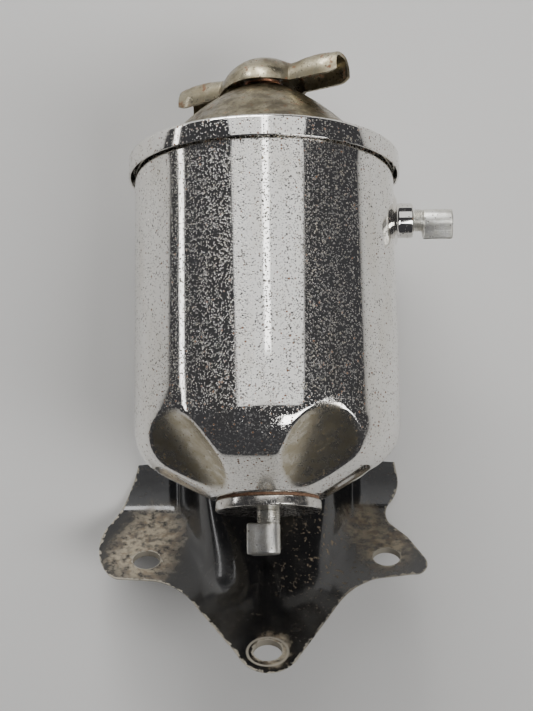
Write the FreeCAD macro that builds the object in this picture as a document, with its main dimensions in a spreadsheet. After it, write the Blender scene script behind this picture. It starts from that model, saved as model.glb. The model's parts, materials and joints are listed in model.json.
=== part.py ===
"""Canister filter housing: a chromed can with a clamped lid, two pipe elbows and a pressed mounting bracket.

Everything is laid out about the can's own axis, with height 0 at the lower edge of the lid's band. One
placement then carries every piece to the row frame, whose origin is midway between the bracket's two ear
holes, on the face that meets the engine. +Z is up along the can and -Y is the can's front.
"""

import FreeCAD, Part

import math
import os
import re

import Sketcher
from FreeCAD import Placement, Rotation, Vector

UP = Vector(0, 0, 1)
RIGHT = Vector(1, 0, 0)
BACK = Vector(0, 1, 0)

# alias: (millimetres or degrees, what it is)
SIZES = {
    "can_x": (1.2, "can axis from the bracket's centre line"),
    "can_y": (-65.0, "can axis from the mounting face at the ear holes"),
    "can_z": (162.0, "lid band's lower edge above the ear holes"),
    "shell_radius": (57.15, "can, outside"),
    "shell_wall": (1.2, "can sheet"),
    "shoulder_radius": (22.0, "rounding from the wall to the dome"),
    "shoulder_low": (-112.0, "where the straight wall ends"),
    "dome_angle": (28.0, "dome's slope"),
    "seat_radius": (24.0, "flat seat at the bottom"),
    "seat_low": (-142.4, "seat's height"),
    "seat_hole": (10.7, "hole in the seat"),
    "bead_radius": (58.5, "rolled bead round the mouth"),
    "bead_low": (3.4, "bead's lower edge"),
    "mouth_high": (6.4, "can's top edge"),
    "flute_count": (5, "flutes round the dome"),
    "flute_turn": (26.5, "first flute, from the front towards the right"),
    "flute_radius": (30.0, "flute's section"),
    "flute_high": (-110.5, "flute's floor at the wall"),
    "flute_low": (-143.6, "flute's floor at the seat"),
    "band_radius": (59.9, "lid band, outside"),
    "lid_wall": (1.0, "lid sheet"),
    "brim_high": (9.6, "lid's flat brim"),
    "brim_inner": (50.5, "inner edge of the brim"),
    "step_radius": (42.5, "top of the lid's step"),
    "step_high": (17.4, "height of the step's top"),
    "crown_radius": (8.5, "lid's flat top"),
    "crown_high": (43.4, "height of the flat top"),
    "cone_bulge": (135.0, "radius of the cone's outward curve"),
    "lid_hole": (5.2, "hole for the clamp bolt"),
    "gasket_inner": (54.6, "lid gasket, inside"),
    "bolt_radius": (4.76, "clamp bolt's thread"),
    "bolt_low": (-3.0, "clamp bolt's tip"),
    "thread_pitch": (1.5875, "clamp bolt's thread pitch"),
    "clip_low": (37.6, "retaining clip's height"),
    "clip_groove": (4.1, "radius of the clip's groove"),
    "clip_radius": (7.4, "clip, outside"),
    "clip_wall": (0.9, "clip's thickness"),
    "seal_radius": (8.0, "bolt seal, outside"),
    "seal_wall": (0.8, "bolt seal's thickness"),
    "collar_radius": (9.1, "thrust collar's foot"),
    "collar_top_radius": (7.4, "thrust collar's top"),
    "collar_tall": (2.4, "thrust collar's height"),
    "head_radius": (9.0, "bolt head, across corners, half"),
    "head_tall": (3.2, "bolt head's height"),
    "rivet_radius": (3.4, "riveted end that holds the wing"),
    "wing_turn": (-27.0, "wing's angle at rest"),
    "wing_reach": (39.0, "axis to the wing's end"),
    "wing_half_width": (6.7, "half the blade's width"),
    "wing_low": (40.0, "wing's lower edge"),
    "blade_tall": (10.8, "blade's depth"),
    "hub_radius": (17.0, "wing's round hub"),
    "hub_tall": (13.8, "hub's dome above the lower edge"),
    "wing_wall": (1.5, "wing sheet"),
    "post_radius": (7.95, "centre post"),
    "post_high": (20.0, "centre post's top"),
    "post_low": (-138.0, "centre post's foot"),
    "post_bore": (4.84, "post's thread for the clamp bolt"),
    "post_bore_low": (-8.0, "bottom of that thread"),
    "post_duct": (3.0, "oil duct down the post"),
    "post_orifice": (0.8, "metering hole"),
    "shelf_radius": (14.0, "post's shelf under the element"),
    "shelf_high": (-112.0, "top of the shelf"),
    "shelf_wall": (1.6, "shelf's thickness"),
    "flange_radius": (22.7, "outlet flange"),
    "flange_high": (-143.2, "flange's upper face"),
    "flange_low": (-147.6, "flange's lower face"),
    "stem_radius": (10.5, "flange's threaded stem"),
    "stem_high": (-131.0, "top of the stem"),
    "washer_radius": (17.0, "inner washer"),
    "washer_wall": (1.0, "inner washer's thickness"),
    "nut_flats": (30.0, "lock nut across flats"),
    "nut_tall": (6.0, "lock nut's height"),
    "port_high": (-19.7, "inlet's height"),
    "boss_radius": (7.65, "inlet boss"),
    "boss_reach": (65.2, "boss face from the can's axis"),
    "patch_radius": (13.0, "patch plate round the boss"),
    "patch_wall": (1.3, "patch plate's thickness"),
    "pipe_radius": (4.9, "elbow's pipe thread"),
    "pipe_length": (11.6, "elbow's shank"),
    "elbow_heel": (4.8, "elbow's round back"),
    "elbow_tall": (13.2, "elbow's body along the shank"),
    "inlet_reach": (7.4, "inlet elbow's port face from the shank's axis"),
    "outlet_reach": (8.6, "outlet elbow's port face from the shank's axis"),
    "elbow_edge": (0.9, "rounding at the port face"),
    "duct_radius": (2.0, "oil duct through the elbow"),
    "tube_port": (3.6, "port's thread"),
    "tube_port_deep": (4.4, "port's depth"),
    "seat_pocket": (2.9, "pocket for the flare seat"),
    "seat_pocket_deep": (2.8, "that pocket's depth"),
    "inlet_block": (69.6, "inlet elbow's body from the can's axis"),
    "outlet_block": (-152.7, "top of the outlet elbow's body"),
    "inlet_tilt": (55.0, "inlet port below the horizontal"),
    "outlet_turn": (17.0, "outlet port turned back from the left"),
    "element_radius": (50.0, "element's perforated wrap"),
    "element_low": (-109.0, "underside of the element's lower cap"),
    "element_high": (-1.0, "top of the element's upper cap"),
    "cap_wall": (1.0, "element caps"),
    "cap_rim": (5.0, "cap's turned edge"),
    "cap_hole": (8.7, "hole in the caps"),
    "wrap_wall": (0.6, "wrap and core sheet"),
    "core_radius": (13.0, "element's core tube"),
    "grommet_hole": (8.2, "grommet round the post"),
    "grommet_wall": (3.0, "grommet's thickness"),
    "cup_radius": (17.0, "spring cup"),
    "cup_wall": (1.2, "spring cup's sheet"),
    "cup_rim": (3.6, "spring cup's turned edge"),
    "spring_radius": (12.4, "spring's mean radius"),
    "spring_wire": (1.1, "spring wire's radius"),
    "spring_high": (36.4, "spring's top turn"),
    "spring_turns": (6, "turns"),
    "saddle_wall": (3.0, "saddle plate"),
    "saddle_arc": (100.0, "saddle's wrap, degrees"),
    "saddle_low": (-111.0, "saddle's lower edge"),
    "saddle_high": (-42.0, "saddle's upper edge"),
    "bracket_x": (-1.2, "bracket's centre line from the can's axis"),
    "bracket_wall": (3.0, "bracket sheet"),
    "plate_tilt": (45.0, "mounting plate's slope"),
    "bend_back": (87.5, "upright brim, behind the can's axis"),
    "bend_radius": (14.0, "bend between plate and brim"),
    "brim_top": (-97.0, "top of the brim"),
    "rib_half_width": (29.0, "half the rib's width"),
    "rib_foot": (31.7, "rib's front where it is lowest"),
    "rib_foot_low": (-200.0, "height of that place"),
    "rib_sag": (22.0, "depth of the rib's rounded front"),
    "rib_neck": (-118.0, "where the rib turns upright"),
    "rib_top": (-74.0, "top of the rib"),
    "rib_draft": (20.0, "outward lean of the rib's sides"),
    "ear_spacing": (110.0, "between the ear holes"),
    "bolt_hole": (6.35, "mounting holes"),
    "tab_drop": (62.0, "tab hole below the ear holes, down the plate"),
}

doc = FreeCAD.newDocument("FilterHousing")
sheet = doc.addObject("Spreadsheet::Sheet", "Sheet")
for row, (alias, (number, note)) in enumerate(SIZES.items(), start=1):
    sheet.set(f"A{row}", alias)
    sheet.set(f"B{row}", str(number))
    sheet.set(f"C{row}", note)
    sheet.setAlias(f"B{row}", alias)
doc.recompute()

sub_parts = []


def size(expression):
    """The value of an expression in the sheet's aliases."""
    return float(sheet.evalExpression(expression))


def bound(expression):
    """The same expression as another object writes it, with each alias read from the sheet."""
    return re.sub("[a-z_0-9]+", lambda word: "Sheet." * (word[0] in SIZES) + word[0], expression)


def bind(thing, **expressions):
    """Sets properties from expressions. An underscore stands for the dot in a property's path."""
    for name, expression in expressions.items():
        thing.setExpression(name.replace("_", "."), bound(expression))
    return thing


def finish(thing, label):
    """Names a finished sub-part and carries it from the can's frame to the row frame."""
    thing.Label = label
    bind(thing, Placement_Base_x="can_x", Placement_Base_y="can_y", Placement_Base_z="can_z")
    sub_parts.append(thing)
    return thing


def cylinder(radius, low, tall):
    """An upright cylinder about the can's axis."""
    return bind(doc.addObject("Part::Cylinder", "Cylinder"), Radius=radius, Height=tall, Placement_Base_z=low)


def cone(low_radius, high_radius, low, tall):
    """An upright cone about the can's axis."""
    thing = doc.addObject("Part::Cone", "Cone")
    return bind(thing, Radius1=low_radius, Radius2=high_radius, Height=tall, Placement_Base_z=low)


def cut(base, *tools):
    """The base less each tool."""
    for tool in tools:
        result = doc.addObject("Part::Cut", "Cut")
        result.Base, result.Tool = base, tool
        base = result
    return base


def fuse(*things):
    """One solid from several."""
    result = doc.addObject("Part::MultiFuse", "Fusion")
    result.Shapes = list(things)
    return result


def common(base, tool):
    """What two solids share."""
    result = doc.addObject("Part::Common", "Common")
    result.Base, result.Tool = base, tool
    return result


def ring(outer, inner, low, tall):
    """A flat ring or a tube about the can's axis."""
    return cut(cylinder(outer, low, tall), cylinder(inner, low + " - 1", tall + " + 2"))


def arc_through(start, end, radius):
    """The arc between two points whose centre lies to the left for a positive radius, and its turning sense."""
    chord = end - start
    side = Vector(-chord.y, chord.x, 0).normalize() * math.copysign(1, radius)
    centre = (start + end) * 0.5 + side * math.sqrt(radius**2 - (chord.Length / 2) ** 2)
    first, last = [math.atan2(point.y - centre.y, point.x - centre.x) for point in (start, end)]
    if radius < 0:
        first, last = last, first
    return Part.ArcOfCircle(Part.Circle(centre, UP, abs(radius)), first, last)


def outline(sketch, corners, arcs):
    """Draws a closed outline whose corners, and whose arcs' radii, are expressions.

    arcs maps the number of a side, counted from its first corner, to a radius, with a minus sign in front
    where the outline turns right.
    """
    places = [Vector(size(x), size(y), 0) for x, y in corners]
    ends = []
    for number, start in enumerate(places):
        end = places[(number + 1) % len(places)]
        if number in arcs:
            sense = -1 if arcs[number].startswith("-") else 1
            sketch.addGeometry(arc_through(start, end, sense * size(arcs[number].lstrip("-"))), False)
            ends.append((1, 2) if sense > 0 else (2, 1))
        else:
            sketch.addGeometry(Part.LineSegment(start, end), False)
            ends.append((1, 2))
    for number, (x, y) in enumerate(corners):
        before = (number - 1) % len(corners)
        first = ends[number][0]
        sketch.addConstraint(Sketcher.Constraint("Coincident", before, ends[before][1], number, first))
        for kind, value in (("DistanceX", x), ("DistanceY", y)):
            datum = sketch.addConstraint(Sketcher.Constraint(kind, -1, 1, number, first, size(value)))
            sketch.setExpression(f"Constraints[{datum}]", bound(value))
    for number, radius in arcs.items():
        value = radius.lstrip("-")
        datum = sketch.addConstraint(Sketcher.Constraint("Radius", number, size(value)))
        sketch.setExpression(f"Constraints[{datum}]", bound(value))


def turned(name, corners, arcs=None):
    """A PartDesign body turned about the can's axis from an outline of radii and heights."""
    body = doc.addObject("PartDesign::Body", name)
    sketch = body.newObject("Sketcher::SketchObject", name + "Outline")
    plane = next(item for item in body.Origin.OriginFeatures if item.Role == "XZ_Plane")
    sketch.AttachmentSupport = (plane, "")
    sketch.MapMode = "FlatFace"
    outline(sketch, corners, arcs or {})
    turn = body.newObject("PartDesign::Revolution", name + "Turn")
    turn.Profile = sketch
    turn.ReferenceAxis = (sketch, ["V_Axis"])
    turn.Angle = 360
    body.Tip = turn
    return body


def round_copies(make, count, turn):
    """Repeats a tool round the can's axis, and joins the copies."""
    step = 360 / count
    return fuse(*[make(turn + number * step) for number in range(count)])


# --- can -----------------------------------------------------------------------------------------------------

def can_solid(name, inset):
    """The can filled in, its surface moved inwards by inset."""
    radius, bend = f"(shell_radius - {inset})", f"(shoulder_radius - {inset})"
    centre = "(shell_radius - shoulder_radius)"
    return turned(
        name,
        [
            ("0", f"seat_low + {inset}"),
            (f"seat_radius - {inset} * tan(dome_angle / 2)", f"seat_low + {inset}"),
            (f"{centre} + {bend} * sin(dome_angle)", f"shoulder_low - {bend} * cos(dome_angle)"),
            (radius, "shoulder_low"),
            (radius, "mouth_high"),
            ("0", "mouth_high"),
        ],
        {2: bend},
    )


def flute(turn, inset):
    """A cylinder that lies against the dome, so that its surface is the floor of one flute."""
    run = Vector(size("shell_radius - seat_radius"), 0, size("flute_high - flute_low"))
    start = Vector(size("shell_radius"), 0, size("flute_high"))
    outwards = Vector(run.z, 0, -run.x).normalize()
    foot = start + outwards * size("flute_radius") - run * 1.5
    tool = bind(doc.addObject("Part::Cylinder", "Flute"), Radius=f"flute_radius + {inset}")
    tool.Height = run.Length * 3
    around = Rotation(UP, turn - 90)
    tool.Placement = Placement(around.multVec(foot), around.multiply(Rotation(UP, run)))
    return tool


def fluted(name, inset):
    """The filled can with its flutes pressed in."""
    tools = round_copies(lambda turn: flute(turn, inset), int(size("flute_count")), size("flute_turn"))
    return cut(can_solid(name, inset), tools)


def sideways(radius, start, length):
    """A cylinder along the inlet's axis."""
    tool = bind(doc.addObject("Part::Cylinder", "Sideways"), Radius=radius, Height=length)
    tool.Placement.Rotation = Rotation(UP, RIGHT)
    return bind(tool, Placement_Base_x=start, Placement_Base_z="port_high")


def canister_shell():
    """Deep-drawn can: straight wall, rolled mouth, fluted dome and a pierced flat seat."""
    bead = cut(
        cylinder("bead_radius", "bead_low", "mouth_high - bead_low"),
        cylinder("shell_radius - shell_wall", "bead_low - 1", "mouth_high - bead_low + 2"),
    )
    wall = cut(
        fluted("CanOutside", "0"),
        fluted("CanInside", "shell_wall"),
        cylinder("shell_radius - shell_wall", "mouth_high - 1", "2"),
        cylinder("seat_hole", "seat_low - 1", "shell_wall + 2"),
        sideways("pipe_radius", "shell_radius - 9", "12"),
    )
    return finish(fuse(wall, bead), "canister_shell")


def saddle_sector(inner, outer, low, high, arc):
    """Part of a tube about the can's axis, centred on the can's back."""
    whole = []
    for radius, spare in ((outer, "0"), (inner, "1")):
        tool = cylinder(radius, f"{low} - {spare}", f"{high} - {low} + 2 * {spare}")
        tool.Placement.Rotation = Rotation(UP, 90 - size(arc) / 2)
        whole.append(bind(tool, Angle=arc) if spare == "0" else tool)
    return cut(*whole)


# --- lid -----------------------------------------------------------------------------------------------------

def lid():
    """Pressed lid: plain band, flat brim over the gasket, step, and a bulged cone up to a pierced flat top."""
    corner = "lid_wall"
    return finish(
        turned(
            "Lid",
            [
                ("band_radius - lid_wall", "0.2"),
                ("band_radius", "0.2"),
                ("band_radius", f"brim_high - 1.5 * {corner}"),
                (f"band_radius - 1.5 * {corner}", "brim_high"),
                ("brim_inner", "brim_high"),
                ("step_radius", "step_high"),
                ("crown_radius", "crown_high"),
                ("lid_hole", "crown_high"),
                ("lid_hole", "crown_high - 1.3 * lid_wall"),
                ("crown_radius - 0.6", "crown_high - 1.3 * lid_wall"),
                ("step_radius - 0.9", "step_high - 0.9"),
                ("brim_inner - 0.5", "brim_high - lid_wall"),
                ("band_radius - 1.5 * lid_wall", "brim_high - lid_wall"),
                ("band_radius - lid_wall", "brim_high - 1.5 * lid_wall"),
            ],
            {2: "(1.5 * lid_wall)", 5: "cone_bulge", 9: "-cone_bulge"},
        ),
        "lid",
    )


def lid_gasket():
    """Flat ring squeezed between the can's mouth and the lid's brim."""
    tall = "brim_high - lid_wall - mouth_high"
    return finish(ring("bead_radius", "gasket_inner", "mouth_high", tall), "lid_gasket")


# --- clamp ---------------------------------------------------------------------------------------------------

def clamp_bolt():
    """Bolt that draws the lid down: chamfered tip, clip groove, hexagon head and a riveted end."""
    seat = "crown_high + seal_wall + collar_tall"
    tip = "1.2"
    groove = ring("bolt_radius + 1", "clip_groove", "clip_low", "clip_wall")
    head = bind(
        doc.addObject("Part::Prism", "Head"), Circumradius="head_radius", Height="head_tall", Placement_Base_z=seat
    )
    shank = cut(cylinder("bolt_radius", f"bolt_low + {tip}", f"{seat} - bolt_low - {tip}"), groove)
    point = cone(f"bolt_radius - {tip}", "bolt_radius", "bolt_low", tip)
    rivet_low = f"{seat} + head_tall"
    inside = "wing_low + (hub_tall - wing_wall) * sqrt(1 - (rivet_radius / (hub_radius - wing_wall)) ^ 2)"
    rivet = cylinder("rivet_radius", rivet_low, f"{inside} - ({rivet_low})")
    return finish(fuse(shank, point, head, rivet), "clamp_bolt")


def blade_bar(reach, half_width, low, tall):
    """A straight bar across the hub, the blank of both blades."""
    bar = doc.addObject("Part::Box", "Blade")
    bind(bar, Length=f"2 * ({reach})", Width=f"2 * ({half_width})", Height=tall)
    return bind(
        bar, Placement_Base_x=f"0 - ({reach})", Placement_Base_y=f"0 - ({half_width})", Placement_Base_z=low
    )


def hub_dome(inset):
    """The upper half of the hub, an ellipsoid of revolution."""
    dome = doc.addObject("Part::Ellipsoid", "Hub")
    radius, tall = f"hub_radius - {inset}", f"hub_tall - {inset}"
    bind(dome, Radius1=tall, Radius2=radius, Radius3=radius, Placement_Base_z="wing_low")
    dome.Angle1 = 0
    return dome


def wing_handle():
    """Pressed wing: a domed hub and two blades, hollow underneath and open at the ends."""
    blade = blade_bar("wing_reach", "wing_half_width", "wing_low", "blade_tall")
    doc.recompute()
    rounded = doc.addObject("Part::Fillet", "BladeRounded")
    rounded.Base = blade
    level = size("wing_low + blade_tall")
    long_top = [
        (number, 2.4, 2.4)
        for number, edge in enumerate(blade.Shape.Edges, start=1)
        if abs(edge.CenterOfMass.z - level) < 0.01 and abs(edge.CenterOfMass.x) < 0.01
    ]
    rounded.Edges = long_top
    inside = blade_bar("wing_reach + 1", "wing_half_width - wing_wall", "wing_low - 1", "blade_tall - wing_wall + 1")
    floor = cylinder("hub_radius - wing_wall", "wing_low - 2", "2")
    wing = cut(fuse(hub_dome("0"), rounded), fuse(hub_dome("wing_wall"), inside, floor))
    finish(wing, "wing_handle")
    wing.Placement.Rotation = Rotation(UP, size("wing_turn"))
    return wing


def clamp_pieces():
    """What rides on the clamp bolt: seal, thrust collar and retaining clip."""
    finish(ring("seal_radius", "bolt_radius + 0.2", "crown_high", "seal_wall"), "bolt_seal")
    collar_low = "crown_high + seal_wall"
    collar = cut(
        cone("collar_radius", "collar_top_radius", collar_low, "collar_tall"),
        cylinder("bolt_radius + 0.08", f"{collar_low} - 1", "collar_tall + 2"),
    )
    finish(collar, "thrust_collar")
    clip = ring("clip_radius", "clip_groove", "clip_low", "clip_wall")
    gap = doc.addObject("Part::Box", "ClipGap")
    bind(gap, Length="clip_radius + 1", Width="1.3 * clip_groove", Height="clip_wall + 2")
    bind(gap, Placement_Base_y="0 - 0.65 * clip_groove", Placement_Base_z="clip_low - 1")
    finish(cut(clip, gap), "retaining_clip")


def hold_down_spring():
    """Round-wire coil between the spring cup and the lid."""
    low = size("element_high + grommet_wall + cup_wall + spring_wire")
    tall = size("spring_high") - low
    mean, wire = size("spring_radius"), size("spring_wire")
    path = Part.makeHelix(tall / size("spring_turns"), tall, mean)
    path.translate(UP * low)
    section = Part.Wire(Part.makeCircle(wire, Vector(mean, 0, low), BACK))
    coil = Part.Wire(path).makePipeShell([section], True, True)
    spring = doc.addObject("Part::Feature", "Spring")
    spring.Shape = coil
    return finish(spring, "hold_down_spring")


def spring_cup():
    """Dished washer that spreads the spring's load over the upper grommet."""
    low = "element_high + grommet_wall"
    disc = ring("cup_radius", "cap_hole", low, "cup_wall")
    rim = ring("cup_radius", "cup_radius - cup_wall", low, "cup_rim")
    return finish(fuse(disc, rim), "spring_cup")


# --- element -------------------------------------------------------------------------------------------------

def element():
    """Throw-away element: packed media between a wrap and a core tube, with two caps and two grommets."""
    low, high = "element_low + cap_wall", "element_high - cap_wall"
    tall = "element_high - element_low - 2 * cap_wall"
    finish(ring("element_radius", "element_radius - wrap_wall", low, tall), "element_wrap")
    finish(ring("element_radius - wrap_wall", "core_radius", low, tall), "element_media")
    finish(ring("core_radius", "core_radius - wrap_wall", low, tall), "element_core")
    rim = ("element_radius + wrap_wall", "element_radius")
    lower = fuse(ring(rim[0], "cap_hole", "element_low", "cap_wall"), ring(*rim, "element_low", "cap_rim"))
    finish(lower, "element_bottom_cap")
    upper = fuse(ring(rim[0], "cap_hole", high, "cap_wall"), ring(*rim, "element_high - cap_rim", "cap_rim"))
    finish(upper, "element_top_cap")
    finish(ring("shelf_radius", "grommet_hole", "element_low - grommet_wall", "grommet_wall"), "bottom_grommet")
    finish(ring("shelf_radius", "grommet_hole", "element_high", "grommet_wall"), "top_grommet")


# --- post and outlet -----------------------------------------------------------------------------------------

def centre_post():
    """Turned post: threaded mouth for the clamp bolt, shelf for the element, and a duct down to the outlet."""
    post = turned(
        "Post",
        [
            ("post_duct", "post_low"),
            ("post_radius", "post_low"),
            ("post_radius", "shelf_high - shelf_wall"),
            ("shelf_radius", "shelf_high - shelf_wall"),
            ("shelf_radius", "shelf_high"),
            ("post_radius", "shelf_high"),
            ("post_radius", "post_high"),
            ("post_bore", "post_high"),
            ("post_bore", "post_bore_low"),
            ("post_duct", "post_bore_low"),
        ],
    )
    orifice = bind(doc.addObject("Part::Cylinder", "Orifice"), Radius="post_orifice", Height="post_radius + 2")
    orifice.Placement.Rotation = Rotation(UP, RIGHT)
    bind(orifice, Placement_Base_z="shelf_high + 12")
    return finish(cut(post, orifice), "centre_post")


def outlet_fittings():
    """The flange under the can, its gasket, and the washer and nut that hold it from inside."""
    body = fuse(
        cylinder("flange_radius", "flange_low", "flange_high - flange_low"),
        cylinder("stem_radius", "flange_high", "stem_high - flange_high"),
    )
    flange = cut(
        body,
        cylinder("pipe_radius", "flange_low - 1", "post_low - flange_low + 1"),
        cylinder("post_radius", "post_low", "stem_high - post_low + 1"),
    )
    finish(flange, "outlet_flange")
    finish(ring("flange_radius - 1", "stem_radius", "flange_high", "seat_low - flange_high"), "flange_gasket")
    inside = "seat_low + shell_wall"
    finish(ring("washer_radius", "stem_radius", inside, "washer_wall"), "inner_washer")
    nut_low = f"{inside} + washer_wall"
    nut = bind(
        doc.addObject("Part::Prism", "Nut"),
        Circumradius="nut_flats / 2 / cos(30)",
        Height="nut_tall",
        Placement_Base_z=nut_low,
    )
    finish(cut(nut, cylinder("stem_radius", f"{nut_low} - 1", "nut_tall + 2")), "lock_nut")


# --- elbows --------------------------------------------------------------------------------------------------

def along_port(radius, start, length):
    """A cylinder along the elbow's port, whose axis crosses the shank's axis at the body's middle."""
    tool = bind(doc.addObject("Part::Cylinder", "Port"), Radius=radius, Height=length)
    tool.Placement.Rotation = Rotation(UP, RIGHT)
    return bind(tool, Placement_Base_x=start, Placement_Base_z="elbow_tall / 2")


def elbow(label, placement, prefix, reach):
    """Street elbow: shank down local Z, port along local X, round back, flat sides and a cone seat."""
    arm = bind(doc.addObject("Part::Box", "Arm"), Length=reach, Width="2 * elbow_heel", Height="elbow_tall")
    bind(arm, Placement_Base_y="0 - elbow_heel")
    doc.recompute()
    eased = doc.addObject("Part::Fillet", "ArmEased")
    eased.Base = arm
    ease = size("elbow_edge")
    eased.Edges = [
        (number, ease, ease)
        for number, edge in enumerate(arm.Shape.Edges, start=1)
        if edge.CenterOfMass.x > size(reach) - 0.01
    ]
    body = fuse(eased, cylinder("elbow_heel", "0", "elbow_tall"), cylinder("pipe_radius", "0 - pipe_length", "pipe_length"))
    mouth, seat = f"{reach} - tube_port_deep", f"{reach} - tube_port_deep - seat_pocket_deep"
    whole = cut(
        body,
        cylinder("duct_radius", "0 - pipe_length - 1", "pipe_length + 1 + elbow_tall / 2"),
        along_port("duct_radius", "0", reach),
        along_port("seat_pocket", seat, "seat_pocket_deep + 1"),
        along_port("tube_port", mouth, "tube_port_deep + 1"),
    )
    cone_seat = doc.addObject("Part::Cone", "ConeSeat")
    bind(cone_seat, Radius1="seat_pocket", Radius2="0.8 * duct_radius", Height="seat_pocket_deep")
    cone_seat.Placement.Rotation = Rotation(UP, RIGHT)
    bind(cone_seat, Placement_Base_x=seat, Placement_Base_z="elbow_tall / 2")
    insert = cut(cone_seat, along_port("0.6 * duct_radius", f"{seat} - 1", reach))
    for thing, name in ((whole, label), (insert, prefix + "_flare_seat")):
        thing.Placement = placement
        thing.Label = name
        sub_parts.append(thing)


def elbow_placement(base, shank_out, port):
    """Row placement of an elbow whose body starts at base, with its shank's and port's directions."""
    across = shank_out.cross(port)
    shift = Vector(size("can_x"), size("can_y"), size("can_z"))
    return Placement(base + shift, Rotation(port, across, shank_out, "ZXY"))


def elbows():
    """The inlet elbow on the can's right and the outlet elbow under the flange."""
    tilt, turn = math.radians(size("inlet_tilt")), math.radians(size("outlet_turn"))
    inlet = elbow_placement(
        Vector(size("inlet_block"), 0, size("port_high")), RIGHT, Vector(0, math.cos(tilt), -math.sin(tilt))
    )
    outlet = elbow_placement(
        Vector(0, 0, size("outlet_block")), -UP, Vector(-math.cos(turn), math.sin(turn), 0)
    )
    elbow("inlet_elbow", inlet, "inlet", "inlet_reach")
    elbow("outlet_elbow", outlet, "outlet", "outlet_reach")


def inlet_fittings():
    """Boss and patch plate brazed to the can's right side."""
    can = cylinder("shell_radius", "port_high - 30", "60")
    boss = cut(
        sideways("boss_radius", "shell_radius - 7", "boss_reach - shell_radius + 7"),
        can,
        sideways("pipe_radius", "shell_radius - 8", "boss_reach - shell_radius + 9"),
    )
    finish(boss, "inlet_boss")
    skin = ring("shell_radius + patch_wall", "shell_radius", "port_high - 30", "60")
    patch = common(skin, sideways("patch_radius", "shell_radius - 12", "20"))
    finish(cut(patch, sideways("boss_radius", "shell_radius - 13", "30")), "port_patch")


# --- bracket -------------------------------------------------------------------------------------------------

def slope_offset():
    """y - z on the front face of the sloping plate, in the can's frame."""
    return size("0 - can_y + can_z") - size("bracket_wall") * math.sqrt(2)


def plate_and_brim(depth):
    """Everything behind the plate and its brim, once the surface is moved back by depth."""
    far, low, half = 140, -240, 110
    slope = slope_offset() + depth * math.sqrt(2)
    brim = size("bend_back") + depth
    corners = [(slope + low, low), (brim, brim - slope), (brim, size("brim_top")), (far, size("brim_top")), (far, low)]
    points = [Vector(-half, y, z) for y, z in corners]
    block = Part.Face(Part.makePolygon(points + points[:1])).extrude(RIGHT * 2 * half)
    bend = [
        edge
        for edge in block.Edges
        if abs(edge.CenterOfMass.y - brim) < 0.01 and abs(edge.CenterOfMass.z - brim + slope) < 0.01
    ]
    return block.makeFillet(size("bend_radius") + depth, bend)


def rib_section(z, depth, centre, radius, bulge):
    """The rib's plan at one height: leaning sides, and a front arc about a centre that bulges forwards or not."""
    half = size("rib_half_width") - depth
    middle, far = size("bracket_x"), 140
    sides = []
    for x in (middle - half, middle + half):
        reach = math.sqrt(radius**2 - (x - centre.x) ** 2)
        sides.append(Vector(x, centre.y - bulge * reach, z))
    top = Vector(middle, centre.y - bulge * math.sqrt(radius**2 - (middle - centre.x) ** 2), z)
    spread = (far - sides[0].y) * math.tan(math.radians(size("rib_draft")))
    corners = [Vector(sides[1].x + spread, far, z), Vector(sides[0].x - spread, far, z)]
    edges = [
        Part.Arc(sides[0], top, sides[1]).toShape(),
        Part.makeLine(sides[1], corners[0]),
        Part.makeLine(corners[0], corners[1]),
        Part.makeLine(corners[1], sides[0]),
    ]
    return Part.Wire(edges)


def rib(depth):
    """The hollow rib: rounded at its foot, and cupped at its neck to take the saddle."""
    half, sag = size("rib_half_width"), size("rib_sag")
    round_radius = (half**2 + sag**2) / (2 * sag)
    middle = Vector(size("bracket_x"), size("rib_foot") + round_radius, 0)
    foot = rib_section(size("rib_foot_low"), depth, middle, round_radius - depth, 1)
    hollow = size("shell_radius + saddle_wall") + depth
    neck = rib_section(size("rib_neck"), depth, Vector(), hollow, -1)
    leaning = Part.makeLoft([foot, neck], True, True)
    upright = Part.Face(neck).extrude(UP * (size("rib_top") - size("rib_neck")))
    return leaning.fuse(upright)


def behind(depth):
    """Everything behind the pressed surface moved back by depth."""
    return plate_and_brim(depth).fuse(rib(depth)).removeSplitter()


def bracket_outline():
    """The blank's edge seen from the front: two ears, a tab, a nick beside the right ear, and the rib's top."""
    half = size("rib_half_width") - 1
    brim, top = size("brim_top") + 1, size("rib_top") + 1
    runs = [
        ("line", (-half, brim), (-59.0, brim)),
        ("line", (-60.0, -110.0)),
        ("arc", (-64.8, -127.0), (-75.4, -146.0)),
        ("arc", (-77.4, -157.0), (-72.4, -168.6)),
        ("arc", (-69.8, -170.4), (-66.0, -171.2)),
        ("line", (-51.5, -172.2)),
        ("arc", (-40.8, -176.2), (-32.0, -184.4)),
        ("line", (-13.5, -206.5)),
        ("arc", (0.3, -215.2), (13.9, -207.8)),
        ("line", (31.0, -185.4)),
        ("arc", (39.8, -176.9), (50.0, -172.4)),
        ("line", (67.0, -170.5)),
        ("arc", (72.4, -168.4), (72.8, -163.0)),
        ("line", (65.8, -151.9)),
        ("line", (58.0, -144.6)),
        ("arc", (56.6, -140.6), (58.7, -134.3)),
        ("arc", (62.6, -127.4), (62.6, -119.0)),
        ("line", (60.0, -104.0)),
        ("line", (59.0, brim)),
        ("line", (half, brim)),
        ("line", (half, top)),
        ("line", (-half, top)),
    ]
    shift = size("bracket_x")
    edges, here = [], Vector(runs[0][1][0] + shift, 0, runs[0][1][1])
    start = here
    for kind, *points in [(runs[0][0], runs[0][2])] + runs[1:]:
        through = [Vector(x + shift, 0, z) for x, z in points]
        if kind == "arc":
            edges.append(Part.Arc(here, *through).toShape())
        else:
            edges.append(Part.makeLine(here, through[0]))
        here = through[-1]
    edges.append(Part.makeLine(here, start))
    return Part.Face(Part.Wire(edges))


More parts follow.
